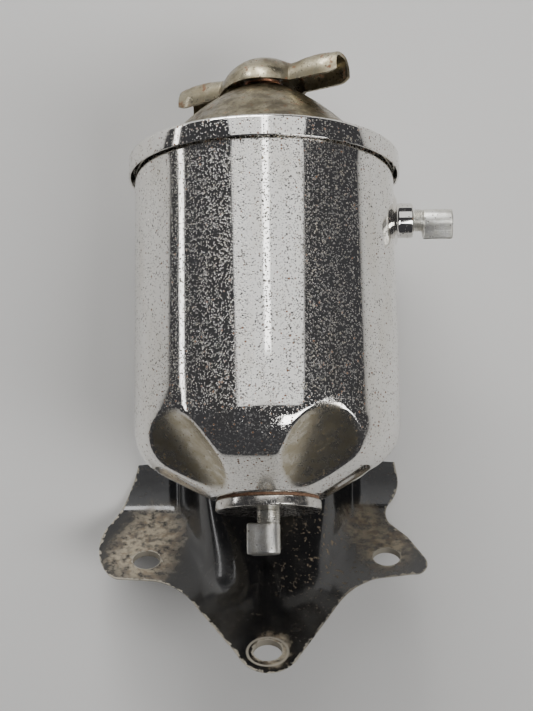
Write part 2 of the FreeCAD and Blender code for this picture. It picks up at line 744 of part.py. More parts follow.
def bracket_plate():
    """One pressing: the sheet between the front surface and the same surface a sheet's thickness behind it."""
    wall = size("bracket_wall")
    prism = bracket_outline()
    prism.translate(BACK * -60)
    prism = prism.extrude(BACK * (60 + size("bend_back") + wall))
    pressed = behind(0).common(prism).cut(behind(wall))
    face_out = Vector(0, -1, 1).normalize()
    ear_middle = Vector(size("bracket_x"), size("0 - can_y"), size("0 - can_z"))
    down = Vector(0, -1, -1).normalize()
    places = [ear_middle + RIGHT * (side * size("ear_spacing") / 2) for side in (-1, 1)]
    places.append(ear_middle + down * size("tab_drop"))
    for place in places:
        pressed = pressed.cut(Part.makeCylinder(size("bolt_hole"), 4 * wall, place - face_out * wall, face_out))
    plate = doc.addObject("Part::Feature", "Bracket")
    plate.Shape = pressed
    return finish(plate, "bracket_plate")


def bracket_saddle():
    """Curved plate brazed to the can's back and to the rib's cupped top."""
    saddle = saddle_sector(
        "shell_radius", "(shell_radius + saddle_wall)", "saddle_low", "saddle_high", "saddle_arc"
    )
    return finish(saddle, "bracket_saddle")


canister_shell()
inlet_fittings()
elbows()
outlet_fittings()
centre_post()
bracket_plate()
bracket_saddle()
lid()
lid_gasket()
hold_down_spring()
spring_cup()
clamp_bolt()
wing_handle()
clamp_pieces()
element()
doc.recompute()

for thing in doc.Objects:
    if "Invalid" in thing.State or "Error" in thing.State:
        raise RuntimeError(f"{thing.Name} ({thing.Label}) failed: {thing.State}")
os.makedirs("parts", exist_ok=True)
for thing in sub_parts:
    if thing.Shape.isNull() or not thing.Shape.isValid():
        raise RuntimeError(f"{thing.Label} has no valid shape")
    thing.Shape.exportStep(f"parts/{thing.Label}.step")
    print(f"{thing.Label}: {len(thing.Shape.Solids)} solid, {thing.Shape.Volume:.0f} mm3")
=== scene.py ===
"""Canister filter housing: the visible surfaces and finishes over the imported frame.

Every shape is worked out in millimetres about the can's own axis, with height 0 at the lower edge of the
lid's band, and is then carried to the frame in metres. +X is the side port's side and -Y is the front.
"""

import json

import bmesh
import bpy
import numpy as np
from mathutils import Matrix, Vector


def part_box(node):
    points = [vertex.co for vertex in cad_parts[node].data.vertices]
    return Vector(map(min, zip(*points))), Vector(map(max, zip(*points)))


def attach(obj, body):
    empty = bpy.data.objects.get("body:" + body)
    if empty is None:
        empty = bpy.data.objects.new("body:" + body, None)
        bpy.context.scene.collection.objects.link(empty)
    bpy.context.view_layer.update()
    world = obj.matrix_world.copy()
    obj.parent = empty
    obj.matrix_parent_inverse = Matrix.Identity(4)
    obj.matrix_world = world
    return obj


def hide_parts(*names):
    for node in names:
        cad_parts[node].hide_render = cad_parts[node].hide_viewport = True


bl_info = {
    "name": "Canister filter housing",
    "version": (1, 0, 0),
    "blender": (4, 5, 0),
    "location": "View3D > Sidebar > Filter",
    "description": "Builds the chromed can, its lid, wing, elbows and bracket over the packed frame",
    "category": "Object",
}

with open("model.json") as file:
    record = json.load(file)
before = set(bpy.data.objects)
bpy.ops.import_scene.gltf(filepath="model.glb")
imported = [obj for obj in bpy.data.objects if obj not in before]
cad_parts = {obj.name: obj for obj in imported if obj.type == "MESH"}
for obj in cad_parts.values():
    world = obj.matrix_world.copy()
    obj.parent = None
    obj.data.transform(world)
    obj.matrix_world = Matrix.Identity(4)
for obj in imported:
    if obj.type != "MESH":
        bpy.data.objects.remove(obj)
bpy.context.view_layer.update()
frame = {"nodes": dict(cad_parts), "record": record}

MM = 0.001
LID_LOW, LID_HIGH = [np.array(corner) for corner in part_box("lid")]
CAN = np.array([(LID_LOW[0] + LID_HIGH[0]) / 2, (LID_LOW[1] + LID_HIGH[1]) / 2, LID_LOW[2] - 0.2 * MM])
SHELL_RADIUS = 57.15
DOME_BEND = 22.0
FLUTE_RADIUS = 30.0
PORT_HIGH = -19.7
EAR_REACH = 55.0
TAB_DROP = 62.0
HOLE_RADIUS = 6.35
RIB_MIDDLE = -CAN[0] / MM
SLOPE = (CAN[2] - CAN[1]) / MM - 3 * np.sqrt(2)


# --- numbers into meshes --------------------------------------------------------------------------


def unit(vectors):
    """Each vector divided by its length."""
    return vectors / np.linalg.norm(vectors, axis=-1, keepdims=True)


def soft_max(a, b, blend):
    """The larger of two fields, rounded where they cross: their mean plus half the root of gap squared and
    blend squared."""
    return (a + b + np.sqrt((a - b) ** 2 + blend**2)) / 2


def soft_min(a, b, blend):
    """The smaller of two fields, rounded where they cross."""
    return -soft_max(-a, -b, blend)


def rounded(corners, radii, steps=7):
    """A closed outline whose corners give way to arcs tangent to both sides."""
    corners = np.array(corners, float)
    runs = []
    for number, radius in enumerate(radii):
        before, corner, after = corners[number - 1], corners[number], corners[(number + 1) % len(corners)]
        if radius == 0:
            runs.append(corner[None])
            continue
        to_before, to_after = unit(before - corner), unit(after - corner)
        half = np.arccos(np.clip(to_before @ to_after, -1, 1)) / 2
        room = 0.49 * min(np.linalg.norm(before - corner), np.linalg.norm(after - corner))
        reach = min(radius / np.tan(half), room)
        radius = reach * np.tan(half)
        centre = corner + unit(to_before + to_after) * radius / np.sin(half)
        spokes = np.stack([corner + to_before * reach - centre, corner + to_after * reach - centre])
        first, last = np.arctan2(spokes[:, 1], spokes[:, 0])
        angles = first + np.linspace(0, 1, steps) * ((last - first + np.pi) % (2 * np.pi) - np.pi)
        runs.append(centre + radius * np.stack([np.cos(angles), np.sin(angles)], -1))
    return np.concatenate(runs)


def densified(outline, spacing):
    """The same closed outline with points no further apart than spacing."""
    after = np.roll(outline, -1, axis=0)
    counts = np.maximum(1, np.ceil(np.linalg.norm(after - outline, axis=1) / spacing)).astype(int)
    starts = np.repeat(outline, counts, axis=0)
    steps = np.repeat(after - outline, counts, axis=0)
    part = np.concatenate([np.arange(count) / count for count in counts])
    return starts + steps * part[:, None]


def turned(profile, segments=224):
    """A profile of radii and heights carried round the can's axis: x = r sin a, y = -r cos a, z = height."""
    angles = np.linspace(0, 2 * np.pi, segments, endpoint=False)
    radii, heights = profile[:, :1], profile[:, 1:]
    return np.stack([radii * np.sin(angles), -radii * np.cos(angles), heights + 0 * angles], -1)


def quads(points, wrap_rows=True, wrap_columns=True):
    """The faces of a grid of points, joined at its ends where it wraps."""
    rows, columns = points.shape[:2]
    index = np.arange(rows * columns).reshape(rows, columns)
    if wrap_rows:
        index = np.vstack([index, index[:1]])
    if wrap_columns:
        index = np.hstack([index, index[:, :1]])
    corners = [index[:-1, :-1], index[:-1, 1:], index[1:, 1:], index[1:, :-1]]
    return np.stack(corners, -1).reshape(-1, 4)


def mesh_from(name, grids, crease=38.0, closed=True, **fields):
    """One object from several grids of points, in millimetres about the can.

    Doubled points at seams and poles are merged, and a closed shell's faces are turned outwards. Each field
    is an array of numbers, one for each point, kept as an attribute.
    """
    points, faces, start = [], [], 0
    for grid, wrap_rows, wrap_columns in grids:
        points.append(grid.reshape(-1, 3))
        faces.append(quads(grid, wrap_rows, wrap_columns) + start)
        start += len(points[-1])
    mesh = bpy.data.meshes.new(name)
    mesh.from_pydata(np.concatenate(points) * MM + CAN, [], np.concatenate(faces).tolist())
    for field, numbers in fields.items():
        store = mesh.attributes.new(field, "FLOAT", "POINT").data
        store.foreach_set("value", numbers.ravel().astype(np.float32))
    work = bmesh.new()
    work.from_mesh(mesh)
    bmesh.ops.remove_doubles(work, verts=work.verts, dist=2e-6)
    bmesh.ops.dissolve_degenerate(work, edges=work.edges, dist=1e-7)
    work.to_mesh(mesh)
    work.free()
    if closed:
        faced_out(mesh)
    smooth(mesh, crease)
    return linked(name, mesh)


def linked(name, mesh):
    """Puts a mesh in the scene as an object at the origin."""
    piece = bpy.data.objects.new(name, mesh)
    bpy.context.scene.collection.objects.link(piece)
    return piece


def smooth(mesh, crease):
    """Shades a mesh smooth except where faces meet more sharply than crease degrees."""
    mesh.shade_smooth()
    mesh.set_sharp_from_angle(angle=np.radians(crease))


def faced_out(mesh):
    """Turns a closed mesh's faces outwards."""
    work = bmesh.new()
    work.from_mesh(mesh)
    bmesh.ops.recalc_face_normals(work, faces=work.faces)
    work.to_mesh(mesh)
    work.free()


def applied(piece, crease=38.0):
    """Swaps the piece's mesh for the one its modifiers make, and drops the modifiers."""
    graph = bpy.context.evaluated_depsgraph_get()
    mesh = bpy.data.meshes.new_from_object(piece.evaluated_get(graph))
    piece.modifiers.clear()
    piece.data = mesh
    smooth(mesh, crease)


def combine(piece, tool, operation):
    """Cuts the piece by a closed tool, or keeps what they share, and removes the tool."""
    change = piece.modifiers.new("Combine", "BOOLEAN")
    change.operation, change.object, change.solver = operation, tool, "EXACT"
    applied(piece)
    bpy.data.objects.remove(tool)


def prism(name, outline, low, high, to_space):
    """A closed outline carried straight from low to high. to_space turns outline and height into a point."""
    count = len(outline)
    heights = np.repeat([low, high], count)
    points = to_space(np.tile(outline, (2, 1)), heights) * MM + CAN
    ring = np.arange(count)
    after = (ring + 1) % count
    sides = np.stack([ring, after, after + count, ring + count], -1).tolist()
    mesh = bpy.data.meshes.new(name)
    mesh.from_pydata(points, [], sides + [ring[::-1].tolist(), (ring + count).tolist()])
    faced_out(mesh)
    return linked(name, mesh)


def declare(piece, body, slot, material, *nodes):
    """Rides on a body, takes its material, and stands for its CAD nodes; slot is not used."""
    piece.data.materials.clear()
    piece.data.materials.append(material)
    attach(piece, body)
    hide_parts(*nodes)


# --- node groups ----------------------------------------------------------------------------------


def feed(tree, socket, value):
    """Links a socket to an input, or sets the input to a constant."""
    if isinstance(value, bpy.types.NodeSocket):
        tree.links.new(value, socket)
    else:
        socket.default_value = value


def put(tree, kind, inputs=(), **settings):
    """Adds a node, sets its properties, and feeds its inputs, by name or number."""
    node = tree.nodes.new("ShaderNode" + kind)
    for name, value in settings.items():
        setattr(node, name, value)
    for name, value in dict(inputs).items():
        feed(tree, node.inputs[name], value)
    return node


def maths(tree, operation, *values, clamp=False):
    """One step of arithmetic on numbers or sockets."""
    return put(tree, "Math", dict(enumerate(values)), operation=operation, use_clamp=clamp).outputs[0]


def ramp(tree, value, low, high):
    """0 below low, 1 above high, and a smooth rise between."""
    inputs = {"Value": value, "From Min": low, "From Max": high}
    return put(tree, "MapRange", inputs, interpolation_type="SMOOTHSTEP").outputs["Result"]


def blend_colour(tree, share, under, over):
    """One colour laid over another by a share from 0 to 1."""
    return put(tree, "Mix", {0: share, 6: under, 7: over}, data_type="RGBA").outputs[2]


def blend_value(tree, share, under, over):
    """One number laid over another by a share from 0 to 1."""
    return put(tree, "Mix", {0: share, 2: under, 3: over}, data_type="FLOAT").outputs[0]


def group(name, inputs, outputs, fill):
    """A node group made once. fill gets the tree, the inputs' sockets by name and the output node."""
    if name in bpy.data.node_groups:
        return bpy.data.node_groups[name]
    tree = bpy.data.node_groups.new(name, "ShaderNodeTree")
    for label, (kind, default) in inputs.items():
        socket = tree.interface.new_socket(label, in_out="INPUT", socket_type="NodeSocket" + kind)
        if default is not None:
            socket.default_value = default
    for label, kind in outputs.items():
        tree.interface.new_socket(label, in_out="OUTPUT", socket_type="NodeSocket" + kind)
    start = tree.nodes.new("NodeGroupInput")
    end = tree.nodes.new("NodeGroupOutput")
    for label, socket in fill(tree, start.outputs).items():
        tree.links.new(socket, end.inputs[label])
    return tree


def use(tree, name, **values):
    """Places a finished group in a material. Underscores in the names stand for spaces."""
    node = tree.nodes.new("ShaderNodeGroup")
    node.node_tree = EFFECTS[name]()
    for label, value in values.items():
        feed(tree, node.inputs[label.replace("_", " ")], value)
    return node.outputs


def can_space():
    """Distances in millimetres round the can, above the lid's edge and out from the axis."""

    def fill(tree, start):
        move = put(tree, "VectorMath", {0: start["Coordinates"], 1: tuple(-CAN)}, operation="ADD")
        scaled = put(tree, "VectorMath", {0: move.outputs[0], "Scale": 1 / MM}, operation="SCALE")
        parts = put(tree, "SeparateXYZ", {0: scaled.outputs[0]}).outputs
        back = maths(tree, "MULTIPLY", parts[1], -1.0)
        angle = maths(tree, "ARCTAN2", parts[0], back)
        flat = put(tree, "CombineXYZ", {0: parts[0], 1: parts[1]})
        radius = put(tree, "VectorMath", {0: flat.outputs[0]}, operation="LENGTH").outputs["Value"]
        return {
            "Angle": maths(tree, "DEGREES", angle),
            "Height": parts[2],
            "Radius": radius,
            "Millimetres": scaled.outputs[0],
        }

    return group(
        "Can space",
        {"Coordinates": ("Vector", None)},
        {"Angle": "Float", "Height": "Float", "Radius": "Float", "Millimetres": "Vector"},
        fill,
    )


def pits():
    """Round specks: cells of a given size, each with its own radius, kept where a random number is under
    density."""

    def fill(tree, start):
        cell = maths(tree, "DIVIDE", 1.0, start["Size"])
        wobble = put(tree, "TexNoise", {"Vector": start["Millimetres"], "Scale": 0.8, "Detail": 2.0})
        mixed = {0: 0.12, 6: start["Millimetres"], 7: wobble.outputs["Color"]}
        moved = put(tree, "Mix", mixed, data_type="RGBA", blend_type="LINEAR_LIGHT")
        cells = put(tree, "TexVoronoi", {"Vector": moved.outputs[2], "Scale": cell})
        dice = put(tree, "SeparateColor", {0: cells.outputs["Color"]}).outputs
        keep = maths(tree, "LESS_THAN", dice[0], start["Density"])
        reach = maths(tree, "MULTIPLY_ADD", dice[1], 0.32, 0.14)
        inside = maths(tree, "DIVIDE", cells.outputs["Distance"], reach)
        spot = maths(tree, "SUBTRACT", 1.0, ramp(tree, inside, 0.65, 1.1))
        mask = maths(tree, "MULTIPLY", spot, keep)
        return {"Mask": mask, "Height": maths(tree, "MULTIPLY", mask, -1.0)}

    return group(
        "Pits",
        {"Millimetres": ("Vector", None), "Size": ("Float", 1.0), "Density": ("Float", 0.5)},
        {"Mask": "Float", "Height": "Float"},
        fill,
    )


def blotches():
    """Uneven patches: layered noise between two levels, drawn out along a direction by Stretch."""

    def fill(tree, start):
        drawn = put(tree, "VectorMath", {0: start["Millimetres"], 1: start["Stretch"]}, operation="MULTIPLY")
        scale = maths(tree, "DIVIDE", 1.0, start["Size"])
        grain = {"Vector": drawn.outputs[0], "Scale": scale, "Detail": 8.0, "Roughness": 0.62}
        noise = put(tree, "TexNoise", grain)
        mask = ramp(tree, noise.outputs[0], start["Low"], start["High"])
        return {"Mask": mask, "Height": noise.outputs[0]}

    return group(
        "Blotches",
        {
            "Millimetres": ("Vector", None),
            "Size": ("Float", 10.0),
            "Low": ("Float", 0.45),
            "High": ("Float", 0.6),
            "Stretch": ("Vector", (1.0, 1.0, 1.0)),
        },
        {"Mask": "Float", "Height": "Float"},
        fill,
    )


def halo():
    """1 inside a ball round a centre and 0 beyond its outer radius, with a ragged edge from noise."""

    def fill(tree, start):
        away = put(tree, "VectorMath", {0: start["Millimetres"], 1: start["Centre"]}, operation="SUBTRACT")
        flat = put(tree, "VectorMath", {0: away.outputs[0], 1: start["Axes"]}, operation="MULTIPLY")
        distance = put(tree, "VectorMath", {0: flat.outputs[0]}, operation="LENGTH").outputs["Value"]
        grain = {"Vector": start["Millimetres"], "Scale": 0.16, "Detail": 7.0, "Roughness": 0.65}
        noise = put(tree, "TexNoise", grain)
        push = maths(tree, "MULTIPLY_ADD", noise.outputs[0], start["Ragged"], distance)
        rise = ramp(tree, push, start["Inner"], start["Outer"])
        return {"Mask": maths(tree, "SUBTRACT", 1.0, rise)}

    return group(
        "Halo",
        {
            "Millimetres": ("Vector", None),
            "Centre": ("Vector", (0.0, 0.0, 0.0)),
            "Axes": ("Vector", (1.0, 1.0, 1.0)),
            "Inner": ("Float", 5.0),
            "Outer": ("Float", 10.0),
            "Ragged": ("Float", 10.0),
        },
        {"Mask": "Float"},
        fill,
    )


def scratches():
    """Fine hair lines: noise drawn out a hundred times along one direction, and kept where it peaks."""

    def fill(tree, start):
        drawn = put(tree, "VectorMath", {0: start["Millimetres"], 1: start["Stretch"]}, operation="MULTIPLY")
        noise = put(tree, "TexNoise", {"Vector": drawn.outputs[0], "Scale": 1.0, "Detail": 3.0})
        return {"Mask": ramp(tree, noise.outputs[0], 0.6, 0.68), "Height": noise.outputs[0]}

    return group(
        "Scratches",
        {"Millimetres": ("Vector", None), "Stretch": ("Vector", (5.0, 5.0, 0.08))},
        {"Mask": "Float", "Height": "Float"},
        fill,
    )


EFFECTS = {"can_space": can_space, "pits": pits, "blotches": blotches, "halo": halo, "scratches": scratches}


# --- finishes -------------------------------------------------------------------------------------


def finish(name, fill, **constants):
    """A material with one Principled shader. fill gets the tree and its can space and returns linked inputs.

    Among what fill returns, Bump is a height in millimetres, which becomes the shader's normal.
    """
    if name in bpy.data.materials:
        return bpy.data.materials[name]
    material = bpy.data.materials.new(name)
    material.use_nodes = True
    tree = material.node_tree
    shader = tree.nodes["Principled BSDF"]
    for label, value in constants.items():
        shader.inputs[label.replace("_", " ")].default_value = value
    space = use(tree, "can_space", Coordinates=put(tree, "TexCoord").outputs["Object"])
    linked = fill(tree, space)
    if "Bump" in linked:
        bump = put(tree, "Bump", {"Height": linked.pop("Bump"), "Distance": MM, "Strength": 1.0})
        linked["Normal"] = bump.outputs[0]
    for label, socket in linked.items():
        tree.links.new(socket, shader.inputs[label])
    return material


def chrome_fill(pit_share, film_share, band=False):
    """Old bright plating: mirror metal under freckles of grey oxide, brown rust and a thin dull film."""

    def fill(tree, space):
        mm = space["Millimetres"]
        cloud = use(tree, "blotches", Millimetres=mm, Size=20.0, Low=0.36, High=0.62)["Mask"]
        turned_away = maths(tree, "ABSOLUTE", maths(tree, "ADD", space["Angle"], 2.0))
        front = maths(tree, "SUBTRACT", 1.0, ramp(tree, turned_away, 18.0, 75.0))
        density = maths(tree, "MULTIPLY_ADD", cloud, 0.35 * pit_share, 0.10 * pit_share)
        density = maths(tree, "MULTIPLY_ADD", front, 0.75 * pit_share, density)
        fine = use(tree, "pits", Millimetres=mm, Size=0.75, Density=density)
        coarse = use(tree, "pits", Millimetres=mm, Size=1.1, Density=maths(tree, "MULTIPLY", density, 0.6))
        speck = maths(tree, "MAXIMUM", fine["Mask"], coarse["Mask"])
        low = ramp(tree, maths(tree, "MULTIPLY", space["Height"], -1.0), 60.0, 128.0)
        under = ramp(tree, maths(tree, "MULTIPLY", space["Height"], -1.0), 104.0, 116.0)
        speck = maths(tree, "MULTIPLY", speck, maths(tree, "MULTIPLY_ADD", under, -0.75, 1.0))
        rim = ramp(tree, space["Height"], -12.0, 3.0)
        rusty = maths(tree, "MULTIPLY_ADD", maths(tree, "MAXIMUM", low, rim), 0.2, 0.05)
        rust = use(tree, "pits", Millimetres=mm, Size=1.2, Density=rusty)["Mask"]
        runs = (1.0, 1.0, 0.35)
        film = use(tree, "blotches", Millimetres=mm, Size=14.0, Low=0.42, High=0.7, Stretch=runs)["Mask"]
        film = maths(tree, "MULTIPLY", film, film_share)
        hair = use(tree, "scratches", Millimetres=mm, Stretch=(3.2, 3.2, 0.05))
        colour = blend_colour(tree, film, (0.80, 0.785, 0.75, 1), (0.55, 0.50, 0.40, 1))
        tone = use(tree, "blotches", Millimetres=mm, Size=1.6, Low=0.52, High=0.62)["Mask"]
        grit = blend_colour(tree, tone, (0.035, 0.030, 0.024, 1), (0.26, 0.22, 0.15, 1))
        colour = blend_colour(tree, speck, colour, grit)
        colour = blend_colour(tree, rust, colour, (0.16, 0.065, 0.02, 1))
        dull = maths(tree, "MAXIMUM", speck, rust)
        rough = maths(tree, "MULTIPLY_ADD", film, 0.20, 0.04)
        rough = maths(tree, "MULTIPLY_ADD", hair["Mask"], 0.10, rough)
        if not band:
            flute = put(tree, "Attribute", attribute_name="flute").outputs["Fac"]
            grain = use(tree, "blotches", Millimetres=mm, Size=5.0, Low=0.35, High=0.65)["Mask"]
            worn = maths(tree, "MULTIPLY", flute, maths(tree, "MULTIPLY_ADD", grain, 0.35, 0.65))
            dull = maths(tree, "MULTIPLY", dull, maths(tree, "MULTIPLY_ADD", worn, -0.85, 1.0))
            colour = blend_colour(tree, maths(tree, "MULTIPLY", worn, 0.9), colour, (0.40, 0.345, 0.225, 1))
            rough = maths(tree, "MULTIPLY_ADD", worn, 0.30, rough)
        lines = maths(tree, "MULTIPLY", hair["Height"], 0.004)
        return {
            "Base Color": colour,
            "Roughness": blend_value(tree, dull, rough, 0.7),
            "Metallic": maths(tree, "MULTIPLY_ADD", dull, -0.9, 1.0),
            "Bump": maths(tree, "MULTIPLY_ADD", dull, -0.05, lines),
        }

    return fill


def patina_fill(under, over, rust_share, dark=(0.05, 0.035, 0.02, 1)):
    """Dull aged plating: mottled film in two colours, dark stains, rust specks and worn bright spots."""

    def fill(tree, space):
        mm = space["Millimetres"]
        mottle = use(tree, "blotches", Millimetres=mm, Size=6.0, Low=0.38, High=0.64)
        stain = use(tree, "blotches", Millimetres=mm, Size=15.0, Low=0.5, High=0.66)["Mask"]
        rust = use(tree, "blotches", Millimetres=mm, Size=3.5, Low=0.56, High=0.66)["Mask"]
        rust = maths(tree, "MULTIPLY", rust, rust_share)
        speck = use(tree, "pits", Millimetres=mm, Size=1.3, Density=0.3)["Mask"]
        colour = blend_colour(tree, mottle["Mask"], under, over)
        colour = blend_colour(tree, maths(tree, "MULTIPLY", stain, 0.55), colour, dark)
        colour = blend_colour(tree, rust, colour, (0.17, 0.06, 0.018, 1))
        colour = blend_colour(tree, maths(tree, "MULTIPLY", speck, 0.7), colour, dark)
        rough = maths(tree, "MULTIPLY_ADD", mottle["Mask"], 0.2, 0.24)
        rough = blend_value(tree, rust, rough, 0.8)
        return {
            "Base Color": colour,
            "Roughness": rough,
            "Metallic": maths(tree, "SUBTRACT", 0.95, maths(tree, "MULTIPLY", rust, 0.8)),
            "Bump": maths(tree, "MULTIPLY", maths(tree, "ADD", mottle["Height"], speck), 0.05),
        }

    return fill


def lid_fill(tree, space):
    """Bright plating on the band and brim, giving way to olive patina on the cone and rust near the bolt."""
    shine = chrome_fill(0.4, 0.25, band=True)(tree, space)
    cone = patina_fill((0.26, 0.225, 0.14, 1), (0.11, 0.092, 0.055, 1), 0.5)(tree, space)
    share = maths(tree, "SUBTRACT", 1.0, ramp(tree, space["Radius"], 46.0, 51.5))
    top = maths(tree, "SUBTRACT", 1.0, ramp(tree, space["Radius"], 9.0, 26.0))
    grime = use(tree, "blotches", Millimetres=space["Millimetres"], Size=4.0, Low=0.35, High=0.6)["Mask"]
    colour = blend_colour(tree, share, shine["Base Color"], cone["Base Color"])
    colour = blend_colour(tree, maths(tree, "MULTIPLY", top, grime), colour, (0.11, 0.06, 0.03, 1))
    return {
        "Base Color": colour,
        "Roughness": blend_value(tree, share, shine["Roughness"], cone["Roughness"]),
        "Metallic": blend_value(tree, share, shine["Metallic"], cone["Metallic"]),
        "Bump": blend_value(tree, share, shine["Bump"], cone["Bump"]),
    }


def enamel_fill(tree, space):
    """Gloss black enamel: tan dirt round the ear holes, a bare ring at the tab hole, chips and worn edges."""
    mm = space["Millimetres"]
    gap = put(tree, "Attribute", attribute_name="edge_gap").outputs["Fac"]
    ragged = use(tree, "blotches", Millimetres=mm, Size=2.6, Low=0.3, High=0.7)["Height"]
    reach = maths(tree, "MULTIPLY_ADD", ragged, -5.5, 3.35)
    bare = maths(tree, "SUBTRACT", 1.0, ramp(tree, maths(tree, "SUBTRACT", gap, reach), -0.2, 0.2))
    dirt = 0.0
    flat = (1.0, 0.0, 1.0)
    ear_z = -CAN[2] / MM
    tab_z = ear_z - TAB_DROP / np.sqrt(2)
    for x, z, inner, outer in (
        (-57.0, ear_z + 3, 12.0, 25.0),
        (-52.0, ear_z + 14, 10.0, 24.0),
        (-68.0, ear_z + 1, 6.0, 14.0),
        (55.0, ear_z + 5, 10.0, 21.0),
        (46.0, ear_z + 17, 6.0, 20.0),
        (2.0, tab_z + 1, 9.0, 14.0),
    ):
        centre = (x + RIB_MIDDLE, 0.0, z)
        size = {"Inner": inner, "Outer": outer, "Ragged": 9.0}
        patch = use(tree, "halo", Millimetres=mm, Centre=centre, Axes=flat, **size)["Mask"]
        dirt = maths(tree, "MAXIMUM", dirt, patch)
    broken = use(tree, "blotches", Millimetres=mm, Size=3.2, Low=0.34, High=0.60)["Mask"]
    dirt = maths(tree, "MULTIPLY", dirt, maths(tree, "MULTIPLY_ADD", broken, 0.85, 0.12))
    dust = use(tree, "blotches", Millimetres=mm, Size=22.0, Low=0.42, High=0.75)["Mask"]
    chips = use(tree, "blotches", Millimetres=mm, Size=2.0, Low=0.595, High=0.62)["Mask"]
    size = {"Inner": 10.0, "Outer": 36.0, "Ragged": 9.0}
    right = use(tree, "halo", Millimetres=mm, Centre=(24.0, 0.0, ear_z), Axes=flat, **size)["Mask"]
    chips = maths(tree, "MULTIPLY", chips, maths(tree, "MULTIPLY_ADD", right, 0.9, 0.1))
    tab = {"Millimetres": mm, "Centre": (RIB_MIDDLE, 0.0, tab_z), "Axes": (1, 0, 1.414), "Ragged": 0.4}
    ring_out = use(tree, "halo", Inner=9.2, Outer=9.8, **tab)
    ring_in = use(tree, "halo", Inner=8.2, Outer=8.7, **tab)
    ring = maths(tree, "SUBTRACT", ring_out["Mask"], ring_in["Mask"], clamp=True)
    damp = use(tree, "blotches", Millimetres=mm, Size=5.0)["Mask"]
    tan = blend_colour(tree, damp, (0.30, 0.255, 0.18, 1), (0.17, 0.13, 0.085, 1))
    thin_dust = maths(tree, "MULTIPLY", dust, 0.05)
    colour = blend_colour(tree, thin_dust, (0.006, 0.006, 0.0065, 1), (0.20, 0.17, 0.13, 1))
    colour = blend_colour(tree, chips, colour, (0.22, 0.17, 0.11, 1))
    colour = blend_colour(tree, dirt, colour, tan)
    metal = maths(tree, "MAXIMUM", bare, maths(tree, "MULTIPLY", ring, 0.8))
    colour = blend_colour(tree, metal, colour, (0.36, 0.33, 0.27, 1))
    off = maths(tree, "MAXIMUM", maths(tree, "MAXIMUM", dirt, chips), metal)
    rough = maths(tree, "MULTIPLY_ADD", dust, 0.14, 0.17)
    height = maths(tree, "MULTIPLY", maths(tree, "MAXIMUM", metal, chips), -0.09)
    peel = use(tree, "blotches", Millimetres=mm, Size=3.0)["Height"]
    return {
        "Base Color": colour,
        "Roughness": blend_value(tree, off, rough, 0.72),
        "Metallic": maths(tree, "MULTIPLY", metal, 0.6),
        "Coat Weight": maths(tree, "SUBTRACT", 0.6, maths(tree, "MULTIPLY", off, 0.6)),
        "Bump": maths(tree, "ADD", height, maths(tree, "MULTIPLY", maths(tree, "ADD", peel, dirt), 0.05)),
    }


def metal_fill(light, shade, rough, stretch=(1.0, 1.0, 1.0), grain=0.02, pit=0.2):
    """Bare or plated metal: two tones in blotches, fine lines, small pits and uneven gloss."""

    def fill(tree, space):
        mm = space["Millimetres"]
        tone = use(tree, "blotches", Millimetres=mm, Size=4.0, Low=0.35, High=0.68)
        lines = use(tree, "scratches", Millimetres=mm, Stretch=stretch)
        speck = use(tree, "pits", Millimetres=mm, Size=1.1, Density=pit)["Mask"]
        colour = blend_colour(tree, tone["Mask"], light, shade)
        colour = blend_colour(tree, speck, colour, tuple(0.3 * part for part in shade[:3]) + (1,))
        gloss = maths(tree, "MULTIPLY_ADD", tone["Mask"], 0.14, rough)
        gloss = maths(tree, "MULTIPLY_ADD", lines["Mask"], 0.12, gloss)
        height = maths(tree, "MULTIPLY", maths(tree, "ADD", tone["Height"], lines["Height"]), grain)
        return {
            "Base Color": colour,
            "Roughness": blend_value(tree, speck, gloss, 0.75),
            "Metallic": maths(tree, "SUBTRACT", 1.0, maths(tree, "MULTIPLY", speck, 0.7)),
            "Bump": maths(tree, "ADD", height, maths(tree, "MULTIPLY", speck, -0.04)),
        }

    return fill


def perforated_fill(tree, space):
    """Tinned sheet with rows of punched dimples: a round hollow at each crossing of angle and height, its
    inside coloured near black as painted shade.
    """
    along = maths(tree, "DIVIDE", space["Angle"], 7.5)
    up = maths(tree, "DIVIDE", space["Height"], 6.5)
    odd = maths(tree, "MULTIPLY", maths(tree, "FLOORED_MODULO", maths(tree, "FLOOR", up), 2.0), 0.5)
    across = maths(tree, "SUBTRACT", maths(tree, "FRACT", maths(tree, "ADD", along, odd)), 0.5)
    upward = maths(tree, "SUBTRACT", maths(tree, "FRACT", up), 0.5)
    place = put(tree, "CombineXYZ", {0: across, 1: upward})
    distance = put(tree, "VectorMath", {0: place.outputs[0]}, operation="LENGTH").outputs["Value"]
    hole = maths(tree, "SUBTRACT", 1.0, ramp(tree, distance, 0.2, 0.3))
    base = metal_fill((0.62, 0.61, 0.57, 1), (0.42, 0.40, 0.35, 1), 0.3)(tree, space)
    # painted shade: the inside of each dimple is coloured near black, standing in for the shade that falls in
    # the hollow
    base["Base Color"] = blend_colour(tree, hole, base["Base Color"], (0.05, 0.045, 0.035, 1))
    base["Bump"] = maths(tree, "MULTIPLY_ADD", hole, -0.6, base["Bump"])
    return base


def soft_fill(light, shade, size, height):
    """Rubber, fibre or packed cotton: layered noise in two tones with a fine raised grain."""

    def fill(tree, space):
        mm = space["Millimetres"]
        tone = use(tree, "blotches", Millimetres=mm, Size=size, Low=0.35, High=0.65)
        fibre = use(tree, "scratches", Millimetres=mm, Stretch=(1.6, 1.6, 0.5))
        colour = blend_colour(tree, tone["Mask"], light, shade)
        deep = tuple(0.5 * part for part in shade[:3]) + (1,)
        colour = blend_colour(tree, maths(tree, "MULTIPLY", fibre["Mask"], 0.5), colour, deep)
        both = maths(tree, "ADD", tone["Height"], fibre["Height"])
        return {
            "Base Color": colour,
            "Roughness": maths(tree, "MULTIPLY_ADD", tone["Mask"], 0.2, 0.65),
            "Bump": maths(tree, "MULTIPLY", both, height),
        }

    return fill


